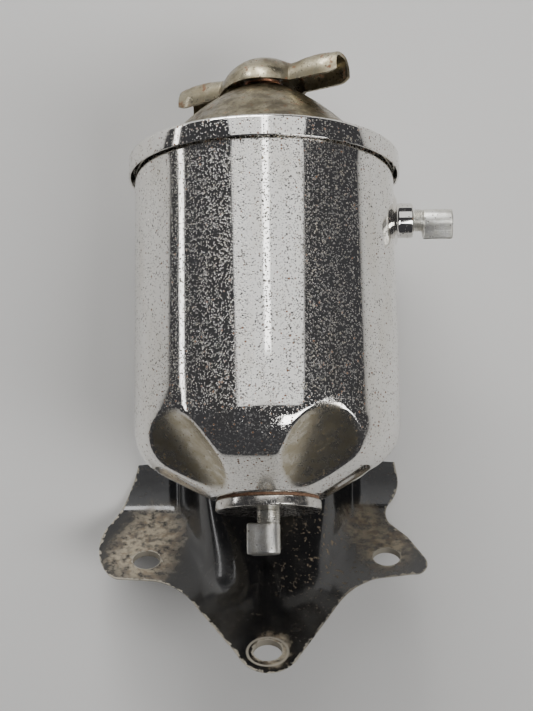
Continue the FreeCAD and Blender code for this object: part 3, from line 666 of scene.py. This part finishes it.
def metal(name, light, shade, *grain):
    """A plain metal finish in two tones, made when it is first asked for."""
    return lambda: finish(name, metal_fill((*light, 1), (*shade, 1), *grain))


def soft(name, light, shade, *grain):
    """A rubber or fibre finish in two tones, made when it is first asked for."""
    return lambda: finish(name, soft_fill((*light, 1), (*shade, 1), *grain))


AGED = patina_fill((0.40, 0.36, 0.26, 1), (0.22, 0.19, 0.125, 1), 0.85)
CAST_GRAIN = 0.28, (2.0, 2.0, 2.0), 0.10, 0.2
LATHE_GRAIN = 0.14, (0.25, 4.0, 1.5), 0.02, 0.45
TURNED_GRAIN = 0.25, (0.3, 0.3, 6.0), 0.03, 0.1

FINISHES = {
    "chromed_can": lambda: finish("Pitted chrome", chrome_fill(0.9, 0.3)),
    "chrome_trim": lambda: finish("Pitted chrome trim", chrome_fill(0.45, 0.35, band=True)),
    "lid_plating": lambda: finish("Lid plating", lid_fill),
    "aged_zinc": lambda: finish("Aged wing plating", AGED),
    "black_enamel": lambda: finish("Black enamel", enamel_fill, Coat_Roughness=0.08),
    "nickel_fitting": metal("Satin nickel", (0.86, 0.85, 0.81), (0.62, 0.60, 0.54), *CAST_GRAIN),
    "bright_nickel": metal("Bright nickel", (0.74, 0.72, 0.68), (0.50, 0.47, 0.42), *LATHE_GRAIN),
    "machined_steel": metal("Turned steel", (0.52, 0.51, 0.49), (0.36, 0.34, 0.31), *TURNED_GRAIN),
    "zinc_steel": metal("Zinc plate", (0.60, 0.60, 0.57), (0.42, 0.41, 0.38), 0.3),
    "spring_steel": metal("Oiled spring steel", (0.20, 0.20, 0.21), (0.11, 0.10, 0.10), 0.25),
    "tinned_wrap": lambda: finish("Perforated tinplate", perforated_fill),
    "tinned_cap": metal("Tinplate", (0.62, 0.61, 0.57), (0.42, 0.40, 0.35), 0.28),
    "seat_brass": metal("Turned brass", (0.75, 0.56, 0.26), (0.52, 0.36, 0.15), 0.25),
    "seal_copper": metal("Soft copper", (0.72, 0.38, 0.24), (0.45, 0.22, 0.13), 0.3),
    "gasket": soft("Black rubber", (0.030, 0.030, 0.031), (0.018, 0.018, 0.018), 3.0, 0.04),
    "fibre_gasket": soft("Red-brown fibre", (0.30, 0.17, 0.10), (0.19, 0.10, 0.06), 2.0, 0.08),
    "cotton_media": soft("Packed cotton", (0.68, 0.61, 0.46), (0.45, 0.38, 0.26), 5.0, 0.8),
}


# --- shapes ---------------------------------------------------------------------------------------


def can_profile():
    """The can's outer line from the seat's hole to the mouth, with its inner line and its outward normals."""
    arc = np.radians(np.linspace(-62, 0, 40))
    seat = np.stack([np.linspace(10.7, 22.6, 9), np.full(9, -142.4)], -1)
    bend_out = SHELL_RADIUS - DOME_BEND + DOME_BEND * np.cos(arc), -112 + DOME_BEND * np.sin(arc)
    slope = np.linspace([24.6, -142.1], [bend_out[0][0], bend_out[1][0]], 34)[:-1]
    wall = np.stack([np.full(14, SHELL_RADIUS), np.linspace(-109.5, 1.2, 14)], -1)
    mouth_angles = np.radians(np.linspace(-80, 90, 9))
    bead = np.stack([SHELL_RADIUS + 1.35 * np.cos(mouth_angles), 4.9 + 1.5 * np.sin(mouth_angles)], -1)
    line = np.concatenate([seat, slope, np.stack(bend_out, -1), wall, bead])
    along = unit(np.gradient(line, axis=0))
    normal = np.stack([along[:, 1], -along[:, 0]], -1)
    bead_share = np.clip((line[:, 1] - 2.0) / 1.5, 0, 1)[:, None]
    inner = line - normal * 1.2 * (1 - bead_share)
    throat = np.stack([np.full(len(line), SHELL_RADIUS - 1.2), np.minimum(line[:, 1], 6.4)], -1)
    inner = np.where(bead_share > 0, throat, inner)
    return line, inner, normal


def flute_depth(points, normals, blend):
    """How far each point moves inwards, along its normal, to lie on a flute's cylinder.

    A flute is a cylinder whose nearest line runs straight from the wall's foot to the bottom seat. The move
    is the root of a quadratic in the distance along the normal. The soft maximum with 0 rounds the edges.
    """
    depth = np.zeros(points.shape[:2])
    for number in range(5):
        turn = np.radians(26.5 + 72 * number)
        out = np.array([np.sin(turn), -np.cos(turn), 0.0])
        start = out * SHELL_RADIUS + [0, 0, -110.5]
        run = unit(out * (SHELL_RADIUS - 24.0) + [0, 0, -110.5 + 143.6])
        side = np.cross(np.array([np.cos(turn), np.sin(turn), 0.0]), run)
        side = side * np.sign(side @ out)
        foot = start + side * FLUTE_RADIUS
        gap = points - foot
        gap = gap - (gap @ run)[..., None] * run
        lean = normals - (normals @ run)[..., None] * run
        a, b = (lean**2).sum(-1), (gap * lean).sum(-1)
        root = b**2 - a * ((gap**2).sum(-1) - FLUTE_RADIUS**2)
        move = np.where(root > 0, (b + np.sqrt(np.maximum(root, 0))) / np.maximum(a, 1e-6), -20.0)
        move = np.where((points @ out) > 0, np.clip(move, -20.0, 9.0), -20.0)
        depth = np.maximum(depth, soft_max(move, 0.0, blend) - blend**2 / 80)
    return depth


def lid_shape():
    """Closed section of the lid: band, brim, stepped foot, outward-curved cone and pierced top, in sheet."""
    along = np.linspace(0, 1, 9)[1:-1]
    cone_in, cone_out = np.array([41.6, 17.6]), np.array([9.0, 42.9])
    chord = cone_out - cone_in
    rise = np.array([-chord[1], chord[0]]) / np.linalg.norm(chord) * -1
    bulge = cone_in + chord * along[:, None] + rise * 2.0 * (4 * along * (1 - along))[:, None]
    under = bulge - rise * 1.0
    corners = [(58.9, 0.2), (59.9, 0.2), (59.9, 9.6), (50.8, 9.6), (48.0, 12.2), (43.4, 16.4), (41.6, 18.2)]
    radii = [0.35, 0.45, 1.7, 2.6, 5.0, 1.2, 1.6]
    corners += [tuple(point) for point in bulge] + [(7.6, 43.4), (5.2, 43.4), (5.2, 42.2), (8.0, 42.1)]
    radii += [30.0] * len(bulge) + [1.6, 0.2, 0.2, 1.0]
    corners += [tuple(point) for point in under[::-1]]
    corners += [(41.4, 16.4), (47.2, 11.2), (50.2, 8.5), (58.9, 8.5)]
    radii += [30.0] * len(bulge) + [2.0, 4.0, 1.6, 0.8]
    return densified(rounded(corners, radii), 4.0)


def wing_shape():
    """The pressed wing's outer skin, from one lower edge over the crown to the other.

    At each place along the wing the section is a superellipse: a half circle at the hub, and nearly square on
    the blades. The half width and height are soft maxima of the blade's and of the hub's ellipsoid.
    """
    length = np.linspace(-39.0, 39.0, 181)[:, None]
    across = np.radians(np.linspace(-90, 90, 61))[None, :]
    far = np.abs(length)
    hub = np.sqrt(np.clip(1 - (far / 17.4) ** 2, 0, 1))
    tip = np.sqrt(np.clip(1 - (np.clip(far - 31.0, 0, None) / 9.5) ** 2, 0, 1))
    blade = 6.7 * (0.45 + 0.55 * tip)
    half = soft_max(blade, 17.0 * hub, 3.4) - 0.3
    dip = 1.6 * np.exp(-(((far - 17.0) / 6.0) ** 2))
    tall = soft_max((9.8 - dip) * (0.35 + 0.65 * tip**0.7), 12.9 * hub, 2.4)
    low = 39.7 + 0.052 * length + 1.3 * np.exp(-((far / 14) ** 2)) - 0.5 * (far / 39) ** 2
    low = low + 1.6 * np.clip((far - 34) / 5, 0, 1) ** 2
    round_share = np.clip(hub * 1.5, 0, 1)
    x = half * np.sign(np.sin(across)) * np.abs(np.sin(across)) ** (0.55 + 0.45 * round_share)
    z = low + tall * np.clip(np.cos(across), 0, 1) ** (0.60 + 0.40 * round_share)
    x = x * (1 + 0.10 * (1 - round_share) * np.abs(np.sin(across)) ** 6)
    turn = np.radians(-27.0)
    east = length * np.cos(turn) - x * np.sin(turn)
    north = length * np.sin(turn) + x * np.cos(turn)
    return np.stack([east, north, z], -1)


def rib_front(x, z):
    """The rib's front face: a ruled blend, in height, from a bulging foot arc to a neck arc round the saddle.

    For each place the share across, t, is found by Newton's method from its sideways distance.
    """
    height = np.clip((z + 200) / 82, 0, None)
    share = soft_min(height, 1.0 + 0 * height, 0.05)
    half_width, foot_radius, neck_radius = 29, 30.11, 60.3
    wide_foot, wide_neck = np.arcsin(half_width / foot_radius), np.arcsin(half_width / neck_radius)
    inside = np.clip(x, -half_width, half_width)
    t = inside / half_width
    for _ in range(8):
        here = (1 - share) * foot_radius * np.sin(wide_foot * t) + share * neck_radius * np.sin(wide_neck * t)
        foot_slope = foot_radius * wide_foot * np.cos(wide_foot * t)
        neck_slope = neck_radius * wide_neck * np.cos(wide_neck * t)
        t = np.clip(t - (here - inside) / ((1 - share) * foot_slope + share * neck_slope), -1, 1)
    foot = 31.7 + foot_radius * (1 - np.cos(wide_foot * t))
    neck = neck_radius * np.cos(wide_neck * t)
    steep = 2.75 * (soft_max(np.abs(x) - 28.6, 0 * x, 6.0) - 0.15)
    return (1 - share) * foot + share * neck + steep


def pressed_front(x, z):
    """How far back the bracket's front face is: the sloping plate, the upright brim and the rib, blended."""
    plate = soft_min(z + SLOPE, 87.5 + 0 * z, 2.6)
    return soft_min(plate, rib_front(x, z), 8.0)


EDGE_RUNS = (
    ("line", (-60.0, -110.0)),
    ("arc", (-64.8, -127.0), (-75.4, -146.0)),
    ("arc", (-77.4, -157.0), (-72.4, -168.6)),
    ("arc", (-69.8, -170.4), (-66.0, -171.2)),
    ("line", (-51.5, -172.2)),
    ("arc", (-40.8, -176.2), (-32.0, -184.4)),
    ("line", (-13.5, -206.5)),
    ("arc", (0.3, -215.2), (13.9, -207.8)),
    ("line", (31.0, -185.4)),
    ("arc", (39.8, -176.9), (50.0, -172.4)),
    ("line", (67.0, -170.5)),
    ("arc", (72.4, -168.4), (72.8, -163.0)),
    ("line", (65.8, -151.9)),
    ("line", (58.0, -144.6)),
    ("arc", (56.6, -140.6), (58.7, -134.3)),
    ("arc", (62.6, -127.4), (62.6, -119.0)),
    ("line", (60.0, -104.0)),
    ("line", (59.0, -97.0)),
    ("line", (28.0, -97.0)),
    ("line", (28.0, -74.0)),
    ("line", (-28.0, -74.0)),
    ("line", (-28.0, -97.0)),
    ("line", (-59.0, -97.0)),
)


def edge_outline():
    """The blank's edge as points: each run is a straight line, or the circle's arc through three points."""
    here = np.array([-59.0, -97.0])
    points = []
    for kind, *through in EDGE_RUNS:
        end = np.array(through[-1])
        if kind == "line":
            steps = max(2, int(np.linalg.norm(end - here) / 1.5))
            run = here + np.linspace(0, 1, steps, endpoint=False)[:, None] * (end - here)
        else:
            middle = np.array(through[0])
            sides = 2 * np.stack([middle - here, end - here])
            centre = np.linalg.solve(sides, [middle @ middle - here @ here, end @ end - here @ here])
            angles = np.unwrap([np.arctan2(*(point - centre)[::-1]) for point in (here, middle, end)])
            swing = np.linspace(angles[0], angles[-1], 14, endpoint=False)
            run = centre + np.linalg.norm(here - centre) * np.stack([np.cos(swing), np.sin(swing)], -1)
        points.append(run)
        here = end
    return np.concatenate(points)


def bracket_mesh(sheet):
    """The pressed sheet on a grid of places and heights, thickened, then cut to its outline and holes."""
    columns = np.arange(-82.0, 82.0, 0.9)
    rows = np.arange(-222.0, -68.0, 1.15)
    z, x = np.meshgrid(rows, columns, indexing="ij")
    y = pressed_front(x, z)
    points = np.stack([x + RIB_MIDDLE, y, z], -1)
    piece = mesh_from("bracket_skin", [(points, False, False)], closed=False)
    thick = piece.modifiers.new("Sheet", "SOLIDIFY")
    thick.thickness, thick.offset, thick.use_rim = sheet, -1.0, True
    applied(piece)
    faced_out(piece.data)
    edge = edge_outline() + [RIB_MIDDLE, 0]
    upright = lambda flat, back: np.stack([flat[:, 0], back, flat[:, 1]], -1)
    blank = prism("blank", edge, -30.0, 96.0, upright)
    combine(piece, blank, "INTERSECT")
    axis = np.array([0, 1, -1]) / np.sqrt(2)
    ears = np.array([RIB_MIDDLE, SLOPE - CAN[2] / MM, -CAN[2] / MM])
    down = np.array([0, -1, -1]) / np.sqrt(2)
    places = [ears + [side * EAR_REACH, 0, 0] for side in (-1, 1)] + [ears + down * TAB_DROP]
    angles = np.linspace(0, 2 * np.pi, 64, endpoint=False)
    circle = HOLE_RADIUS * np.stack([np.cos(angles), np.sin(angles)], -1)
    for place in places:
        across = lambda flat: place + flat[:, :1] * [1, 0, 0] + flat[:, 1:] * -down
        spread = lambda flat, back: across(flat) + back[:, None] * axis
        combine(piece, prism("drill", circle, -14.0, 14.0, spread), "DIFFERENCE")
    points = np.empty(len(piece.data.vertices) * 3)
    piece.data.vertices.foreach_get("co", points)
    points = (points.reshape(-1, 3) - CAN) / MM
    edge = densified(edge, 0.8)
    squash = np.array([1.0, 1.25])
    gap = np.full(len(points), 99.0)
    for run in np.array_split(edge, 12):
        away = (points[:, None, [0, 2]] - run[None]) * squash
        gap = np.minimum(gap, np.sqrt((away**2).sum(-1)).min(1))
    for place in places:
        away = points - place
        away = away - (away @ axis)[:, None] * axis
        gap = np.minimum(gap, np.abs(np.linalg.norm(away, axis=1) - HOLE_RADIUS))
    field = piece.data.attributes.new("edge_gap", "FLOAT", "POINT")
    field.data.foreach_set("value", gap.astype(np.float32))
    return piece


def screw(radius, start, length, pitch=0.94, depth=0.5):
    """A tapered pipe thread down local z: the radius is a ridge that climbs one pitch in each turn."""
    down = np.linspace(0, length, int(length / pitch * 8) + 1)[:, None]
    angles = np.linspace(0, 2 * np.pi, 72, endpoint=False)[None, :]
    ridge = np.abs(((down / pitch + angles / (2 * np.pi)) % 1.0) * 2 - 1)
    fade = np.clip(np.minimum(down, length - down) / 0.6, 0, 1)
    radii = radius - depth * (1 - ridge) * fade - (1 - fade) * depth
    rows = np.stack([radii * np.cos(angles), radii * np.sin(angles), start - down + 0 * angles], -1)
    closing = np.zeros((1, rows.shape[1], 3))
    first, last = closing + [0, 0, start], closing + [0, 0, start - length]
    return np.concatenate([first, rows, last])


def elbow_body(reach):
    """The forged block: a D-shaped outline, round at the heel, carried along the shank with eased ends."""
    flat = rounded([(reach, -4.8), (reach, 4.8), (-4.8, 4.8), (-4.8, -4.8)], [0.9, 0.9, 4.75, 4.75], steps=14)
    flat = densified(flat, 0.8)
    ease = 0.9
    swing = np.radians(np.linspace(0, 90, 6))
    inset = np.concatenate([ease * (1 - np.sin(swing)), ease * (1 - np.sin(swing[::-1]))])
    height = np.concatenate([ease * (1 - np.cos(swing)), 13.2 - ease * (1 - np.cos(swing[::-1]))])
    centre = np.array([1.9, 0.0])
    out = unit(flat - centre)
    spread = flat - out * inset[:, None, None]
    rows = np.concatenate([spread, height[:, None, None] + 0 * spread[..., :1]], -1)
    rows = rows + 0.05 * np.sin(rows[..., 2:] * 1.7 + rows[..., :1] * 1.1) * unit(rows - [1.9, 0, 6.6])
    ends = [np.tile([[1.9, 0.0, level]], (1, len(flat), 1)) for level in (0.0, 13.2)]
    return np.concatenate([ends[0], rows, ends[1]])


def port_tool(face):
    """What is cut from the port: a countersunk mouth, a threaded wall and a coned bottom, along local x."""
    depth = np.linspace(0, 4.6, 40)[:, None]
    angles = np.linspace(0, 2 * np.pi, 60, endpoint=False)[None, :]
    ridge = np.abs(((depth / 1.0 + angles / (2 * np.pi)) % 1.0) * 2 - 1)
    radii = 3.55 + 0.35 * ridge * np.clip((4.4 - depth) / 0.5, 0, 1) + np.clip(0.9 - depth, 0, None) * 0.7
    along = face - 0.05 - depth + 0 * angles
    rows = np.stack([along, radii * np.cos(angles), 6.6 + radii * np.sin(angles)], -1)
    mouth = rows[:1] + [1.5, 0, 0]
    first = np.tile([[face + 1.45, 0.0, 6.6]], (1, 60, 1))
    last = np.tile([[face - 7.15, 0.0, 6.6]], (1, 60, 1))
    return np.concatenate([first, mouth, rows, last])


def elbow_mesh(name, base, shank, port, reach):
    """One street elbow: block, threaded shank, and the port cut into its flat face."""
    turn = np.stack([port, np.cross(shank, port), shank])
    put_there = lambda points: points @ turn + base
    block = mesh_from(name, [(put_there(elbow_body(reach)), False, True)], crease=50)
    tool = mesh_from(name + "_tool", [(put_there(port_tool(reach)), False, True)])
    combine(block, tool, "DIFFERENCE")
    thread = mesh_from(name + "_thread", [(put_there(screw(5.05, 0.0, 11.4)), False, True)], crease=60)
    join = bmesh.new()
    join.from_mesh(block.data)
    join.from_mesh(thread.data)
    join.to_mesh(block.data)
    join.free()
    bpy.data.objects.remove(thread)
    return block


def about_port(profile, segments=96):
    """A profile of distances from the can's axis and radii, carried round the side port's axis."""
    angles = np.linspace(0, 2 * np.pi, segments, endpoint=False)
    reach, radii = profile[:, :1], profile[:, 1:]
    return np.stack([reach + 0 * angles, radii * np.cos(angles), PORT_HIGH + radii * np.sin(angles)], -1)


def patch_shape():
    """The raised plate round the boss: a disc laid on the can, lifted by a smooth step down to its edge."""
    angles = np.linspace(0, 2 * np.pi, 120, endpoint=False)[None, :]
    reach = np.linspace(7.2, 12.9, 24)[:, None]
    fall = np.clip((reach - 8.5) / 4.4, 0, 1)
    lift = 1.3 * (1 - fall**2 * (3 - 2 * fall))
    sheets = []
    for extra in (lift, 0 * lift - 0.5):
        y, up = reach * np.cos(angles), PORT_HIGH + reach * np.sin(angles)
        x = np.sqrt((SHELL_RADIUS + extra) ** 2 - y**2)
        sheets.append(np.stack([x, y, up + 0 * x], -1))
    return np.concatenate([sheets[0], sheets[1][::-1]])


# --- add-on ---------------------------------------------------------------------------------------


class FilterShape(bpy.types.PropertyGroup):
    """Sizes a user may change within the frame."""

    flute_edge: bpy.props.FloatProperty(
        name="Flute edge",
        description="Softness of the flutes' edges",
        default=0.9 * MM,
        min=0,
        unit="LENGTH",
    )
    bracket_sheet: bpy.props.FloatProperty(
        name="Bracket sheet",
        description="Thickness of the pressed bracket",
        default=3.0 * MM,
        min=0,
        unit="LENGTH",
    )
    wing_sheet: bpy.props.FloatProperty(
        name="Wing sheet",
        description="Thickness of the wing's sheet",
        default=1.5 * MM,
        min=0,
        unit="LENGTH",
    )


class FilterStudio(bpy.types.PropertyGroup):
    """Floor and light."""

    floor_colour: bpy.props.FloatVectorProperty(
        name="Floor",
        description="Colour of the plain floor",
        subtype="COLOR",
        size=3,
        default=(0.70, 0.69, 0.67),
    )
    light_power: bpy.props.FloatProperty(
        name="Light", description="Power of the main soft light", default=24.0, min=0, unit="POWER"
    )


class FILTER_OT_can(bpy.types.Operator):
    """Builds the fluted can"""

    bl_idname = "filter.can"
    bl_label = "Can"

    def execute(self, context):
        blend = context.scene.filter_shape.flute_edge / MM
        line, inner, normal = can_profile()
        outside, inside, out = turned(line, 300), turned(inner, 300), turned(normal, 300)
        depth = flute_depth(outside, out, blend)
        depth = np.where(depth > 1e-3, depth, 0)
        outside = outside - out * depth[..., None]
        inside = inside - out * depth[..., None]
        grid = np.concatenate([outside, inside[::-1]])
        both = np.concatenate([depth, depth[::-1]])
        share = np.clip((both - 0.35) / 0.9, 0, 1)
        piece = mesh_from("can_skin", [(grid, True, True)], flute=share)
        declare(piece, "housing", "chromed_can", FINISHES["chromed_can"](), "canister_shell")
        return {"FINISHED"}


class FILTER_OT_lid(bpy.types.Operator):
    """Builds the lid"""

    bl_idname = "filter.lid"
    bl_label = "Lid"

    def execute(self, context):
        piece = mesh_from("lid_skin", [(turned(lid_shape(), 256), True, True)], crease=50)
        declare(piece, "lid", "lid_plating", FINISHES["lid_plating"](), "lid")
        return {"FINISHED"}


class FILTER_OT_wing(bpy.types.Operator):
    """Builds the wing handle"""

    bl_idname = "filter.wing"
    bl_label = "Wing"

    def execute(self, context):
        piece = mesh_from("wing_skin", [(wing_shape(), False, False)], closed=False)
        thick = piece.modifiers.new("Sheet", "SOLIDIFY")
        thick.thickness, thick.offset, thick.use_rim = context.scene.filter_shape.wing_sheet, -1.0, True
        applied(piece, 50)
        declare(piece, "clamp", "aged_zinc", FINISHES["aged_zinc"](), "wing_handle")
        return {"FINISHED"}


class FILTER_OT_bracket(bpy.types.Operator):
    """Builds the pressed bracket"""

    bl_idname = "filter.bracket"
    bl_label = "Bracket"

    def execute(self, context):
        piece = bracket_mesh(context.scene.filter_shape.bracket_sheet)
        declare(piece, "housing", "black_enamel", FINISHES["black_enamel"](), "bracket_plate")
        return {"FINISHED"}


class FILTER_OT_fittings(bpy.types.Operator):
    """Builds the side boss and its plate, the bottom flange and both elbows"""

    bl_idname = "filter.fittings"
    bl_label = "Boss, flange and elbows"

    def execute(self, context):
        boss = rounded(
            [(53.0, 4.95), (65.2, 4.95), (65.2, 7.65), (58.6, 7.65), (56.4, 10.0), (53.0, 10.0)],
            [0.3, 0.5, 0.9, 1.6, 0.3, 0.2],
        )
        piece = mesh_from("boss_skin", [(about_port(boss), True, True)], crease=60)
        declare(piece, "housing", "chromed_can", FINISHES["chrome_trim"](), "inlet_boss")
        piece = mesh_from("patch_skin", [(patch_shape(), True, True)], crease=60)
        declare(piece, "housing", "chromed_can", FINISHES["chrome_trim"](), "port_patch")
        face = [(5.1, -147.6), (22.7, -147.6), (22.7, -143.2)]
        spigot = [(10.5, -143.2), (10.5, -131.0), (8.0, -131.0), (8.0, -138.0), (5.1, -138.0)]
        disc = rounded(face + spigot, [0.7, 0.8, 0.8, 0.3, 0.5, 0.2, 0.1, 0.1])
        piece = mesh_from("flange_skin", [(turned(disc), True, True)], crease=60)
        declare(piece, "housing", "bright_nickel", FINISHES["bright_nickel"](), "outlet_flange")
        tilt, turn = np.radians(55.0), np.radians(17.0)
        inlet = elbow_mesh(
            "inlet_elbow_skin",
            np.array([69.6, 0.0, PORT_HIGH]),
            np.array([1.0, 0.0, 0.0]),
            np.array([0.0, np.cos(tilt), -np.sin(tilt)]),
            7.4,
        )
        outlet = elbow_mesh(
            "outlet_elbow_skin",
            np.array([0.0, 0.0, -152.7]),
            np.array([0.0, 0.0, -1.0]),
            np.array([-np.cos(turn), np.sin(turn), 0.0]),
            8.6,
        )
        declare(inlet, "housing", "nickel_fitting", FINISHES["nickel_fitting"](), "inlet_elbow")
        declare(outlet, "housing", "nickel_fitting", FINISHES["nickel_fitting"](), "outlet_elbow")
        return {"FINISHED"}


class FILTER_OT_inner(bpy.types.Operator):
    """Gives the pieces carried over from the frame their finishes"""

    bl_idname = "filter.inner"
    bl_label = "Inner pieces"

    def execute(self, context):
        slots = {item["node"]: item["material_slot"] for item in frame["record"]["subparts"]}
        for name, node in frame["nodes"].items():
            slot = slots[name]
            if name.endswith("_cap") or name == "element_core":
                slot = "tinned_cap"
            if slot == "chromed_can":
                slot = "chrome_trim"
            made = FINISHES[slot]()
            for place in node.material_slots:
                place.material = made
        return {"FINISHED"}


def light(name, where, target, power, size):
    """A plain white rectangular light that faces a target."""
    lamp = bpy.data.lights.new(name, "AREA")
    lamp.energy = power
    lamp.shape, lamp.size, lamp.size_y = "RECTANGLE", *size
    holder = bpy.data.objects.new(name, lamp)
    way = unit(np.array(target, float) - np.array(where, float))
    side = unit(np.cross(way, [0, 0, 1.0]))
    rise = np.cross(side, way)
    turn = Matrix([[side[i], rise[i], -way[i], where[i]] for i in range(3)] + [[0, 0, 0, 1]])
    holder.matrix_world = turn
    bpy.context.scene.collection.objects.link(holder)
    holder.visible_camera = False


def floor_material(colour):
    """A matt floor whose back is clear to the camera, so that the object can be seen from behind it."""
    material = bpy.data.materials.new("Floor")
    material.use_nodes = True
    tree = material.node_tree
    shader, end = tree.nodes["Principled BSDF"], tree.nodes["Material Output"]
    shader.inputs["Base Color"].default_value = (*colour, 1)
    shader.inputs["Roughness"].default_value = 0.85
    ray, face = put(tree, "LightPath"), put(tree, "NewGeometry")
    hide = maths(tree, "MULTIPLY", ray.outputs["Is Camera Ray"], face.outputs["Backfacing"])
    clear = put(tree, "BsdfTransparent").outputs[0]
    mixed = put(tree, "MixShader", {0: hide, 1: shader.outputs[0], 2: clear})
    tree.links.new(mixed.outputs[0], end.inputs["Surface"])
    return material


class FILTER_OT_stage(bpy.types.Operator):
    """Sets up the plain floor, the soft lights and the camera"""

    bl_idname = "filter.stage"
    bl_label = "Stage"

    def execute(self, context):
        studio = context.scene.filter_studio
        lean = np.radians(12.2)
        out = np.array([0, -np.cos(lean), -np.sin(lean)])
        up = np.array([0, -np.sin(lean), np.cos(lean)])
        touch = CAN + np.array([0, 90.6, -133.0]) * MM + out * -0.6 * MM
        right = np.array([1.0, 0, 0])
        corners = [touch + right * a * 1.6 + up * b * 1.6 for a, b in ((-1, -1), (1, -1), (1, 1), (-1, 1))]
        mesh = bpy.data.meshes.new("floor")
        mesh.from_pydata([tuple(corner) for corner in corners], [], [(0, 1, 2, 3)])
        mesh.materials.append(floor_material(studio.floor_colour))
        linked("floor", mesh)

        world = bpy.data.worlds.new("Studio")
        world.use_nodes = True
        world.node_tree.nodes["Background"].inputs[0].default_value = (0.055, 0.055, 0.06, 1)
        context.scene.world = world
        middle = CAN + np.array([0, 0, -60]) * MM
        power = studio.light_power
        light("front", CAN + [0.06, -1.1, 0.50], middle, power * 0.19, (1.35, 0.9))
        light("window", CAN + [0.02, -0.98, 0.50], middle, power * 0.03, (0.10, 0.8))
        light("key", CAN + [-0.45, -0.95, 1.30], middle, power * 1.2, (1.2, 0.8))
        light("fill", CAN + [0.75, -1.1, -0.65], middle, power * 0.5, (1.0, 0.5))
        light("side", CAN + [-1.15, -0.30, 0.40], middle, power * 0.05, (0.10, 0.9))
        light("back_left", CAN + [-0.9, 1.0, 0.5], middle, power * 0.6, (1.0, 1.0))
        light("back_right", CAN + [0.9, 1.0, 0.2], middle, power * 0.5, (1.0, 1.0))

        lens = bpy.data.cameras.new("camera")
        lens.sensor_width = 36.0
        lens.lens = 87.29
        lens.dof.use_dof = False
        camera = bpy.data.objects.new("camera", lens)
        context.scene.collection.objects.link(camera)
        pitch, roll = np.radians(12.04), np.radians(-0.78)
        ahead = np.array([0, np.cos(pitch), np.sin(pitch)])
        above = np.array([0, -np.sin(pitch), np.cos(pitch)])
        side = np.cos(roll) * right + np.sin(roll) * above
        rise = -np.sin(roll) * right + np.cos(roll) * above
        eye = CAN + np.array([0, -731.9, -235.8]) * MM
        rows = [[side[i], rise[i], -ahead[i], eye[i]] for i in range(3)]
        camera.matrix_world = Matrix(rows + [[0, 0, 0, 1]])
        context.scene.camera = camera
        return {"FINISHED"}


OPERATORS = (
    FILTER_OT_can,
    FILTER_OT_lid,
    FILTER_OT_wing,
    FILTER_OT_bracket,
    FILTER_OT_fittings,
    FILTER_OT_inner,
    FILTER_OT_stage,
)


class FILTER_PT_panel(bpy.types.Panel):
    """Lists the sizes, the colours and the building steps"""

    bl_label = "Filter housing"
    bl_idname = "FILTER_PT_panel"
    bl_space_type = "VIEW_3D"
    bl_region_type = "UI"
    bl_category = "Filter"

    def draw(self, context):
        for group_name in ("filter_shape", "filter_studio"):
            settings = getattr(context.scene, group_name)
            for name in settings.__annotations__:
                self.layout.prop(settings, name)
        for operator in OPERATORS:
            self.layout.operator(operator.bl_idname)


def register():
    for item in (FilterShape, FilterStudio, *OPERATORS, FILTER_PT_panel):
        bpy.utils.register_class(item)
    bpy.types.Scene.filter_shape = bpy.props.PointerProperty(type=FilterShape)
    bpy.types.Scene.filter_studio = bpy.props.PointerProperty(type=FilterStudio)


def unregister():
    del bpy.types.Scene.filter_shape
    del bpy.types.Scene.filter_studio
    for item in reversed((FilterShape, FilterStudio, *OPERATORS, FILTER_PT_panel)):
        bpy.utils.unregister_class(item)


def main():
    """Builds every piece in order."""
    register()
    bpy.ops.filter.can()
    bpy.ops.filter.lid()
    bpy.ops.filter.wing()
    bpy.ops.filter.bracket()
    bpy.ops.filter.fittings()
    bpy.ops.filter.inner()
    bpy.ops.filter.stage()


if __name__ == "__main__":
    main()
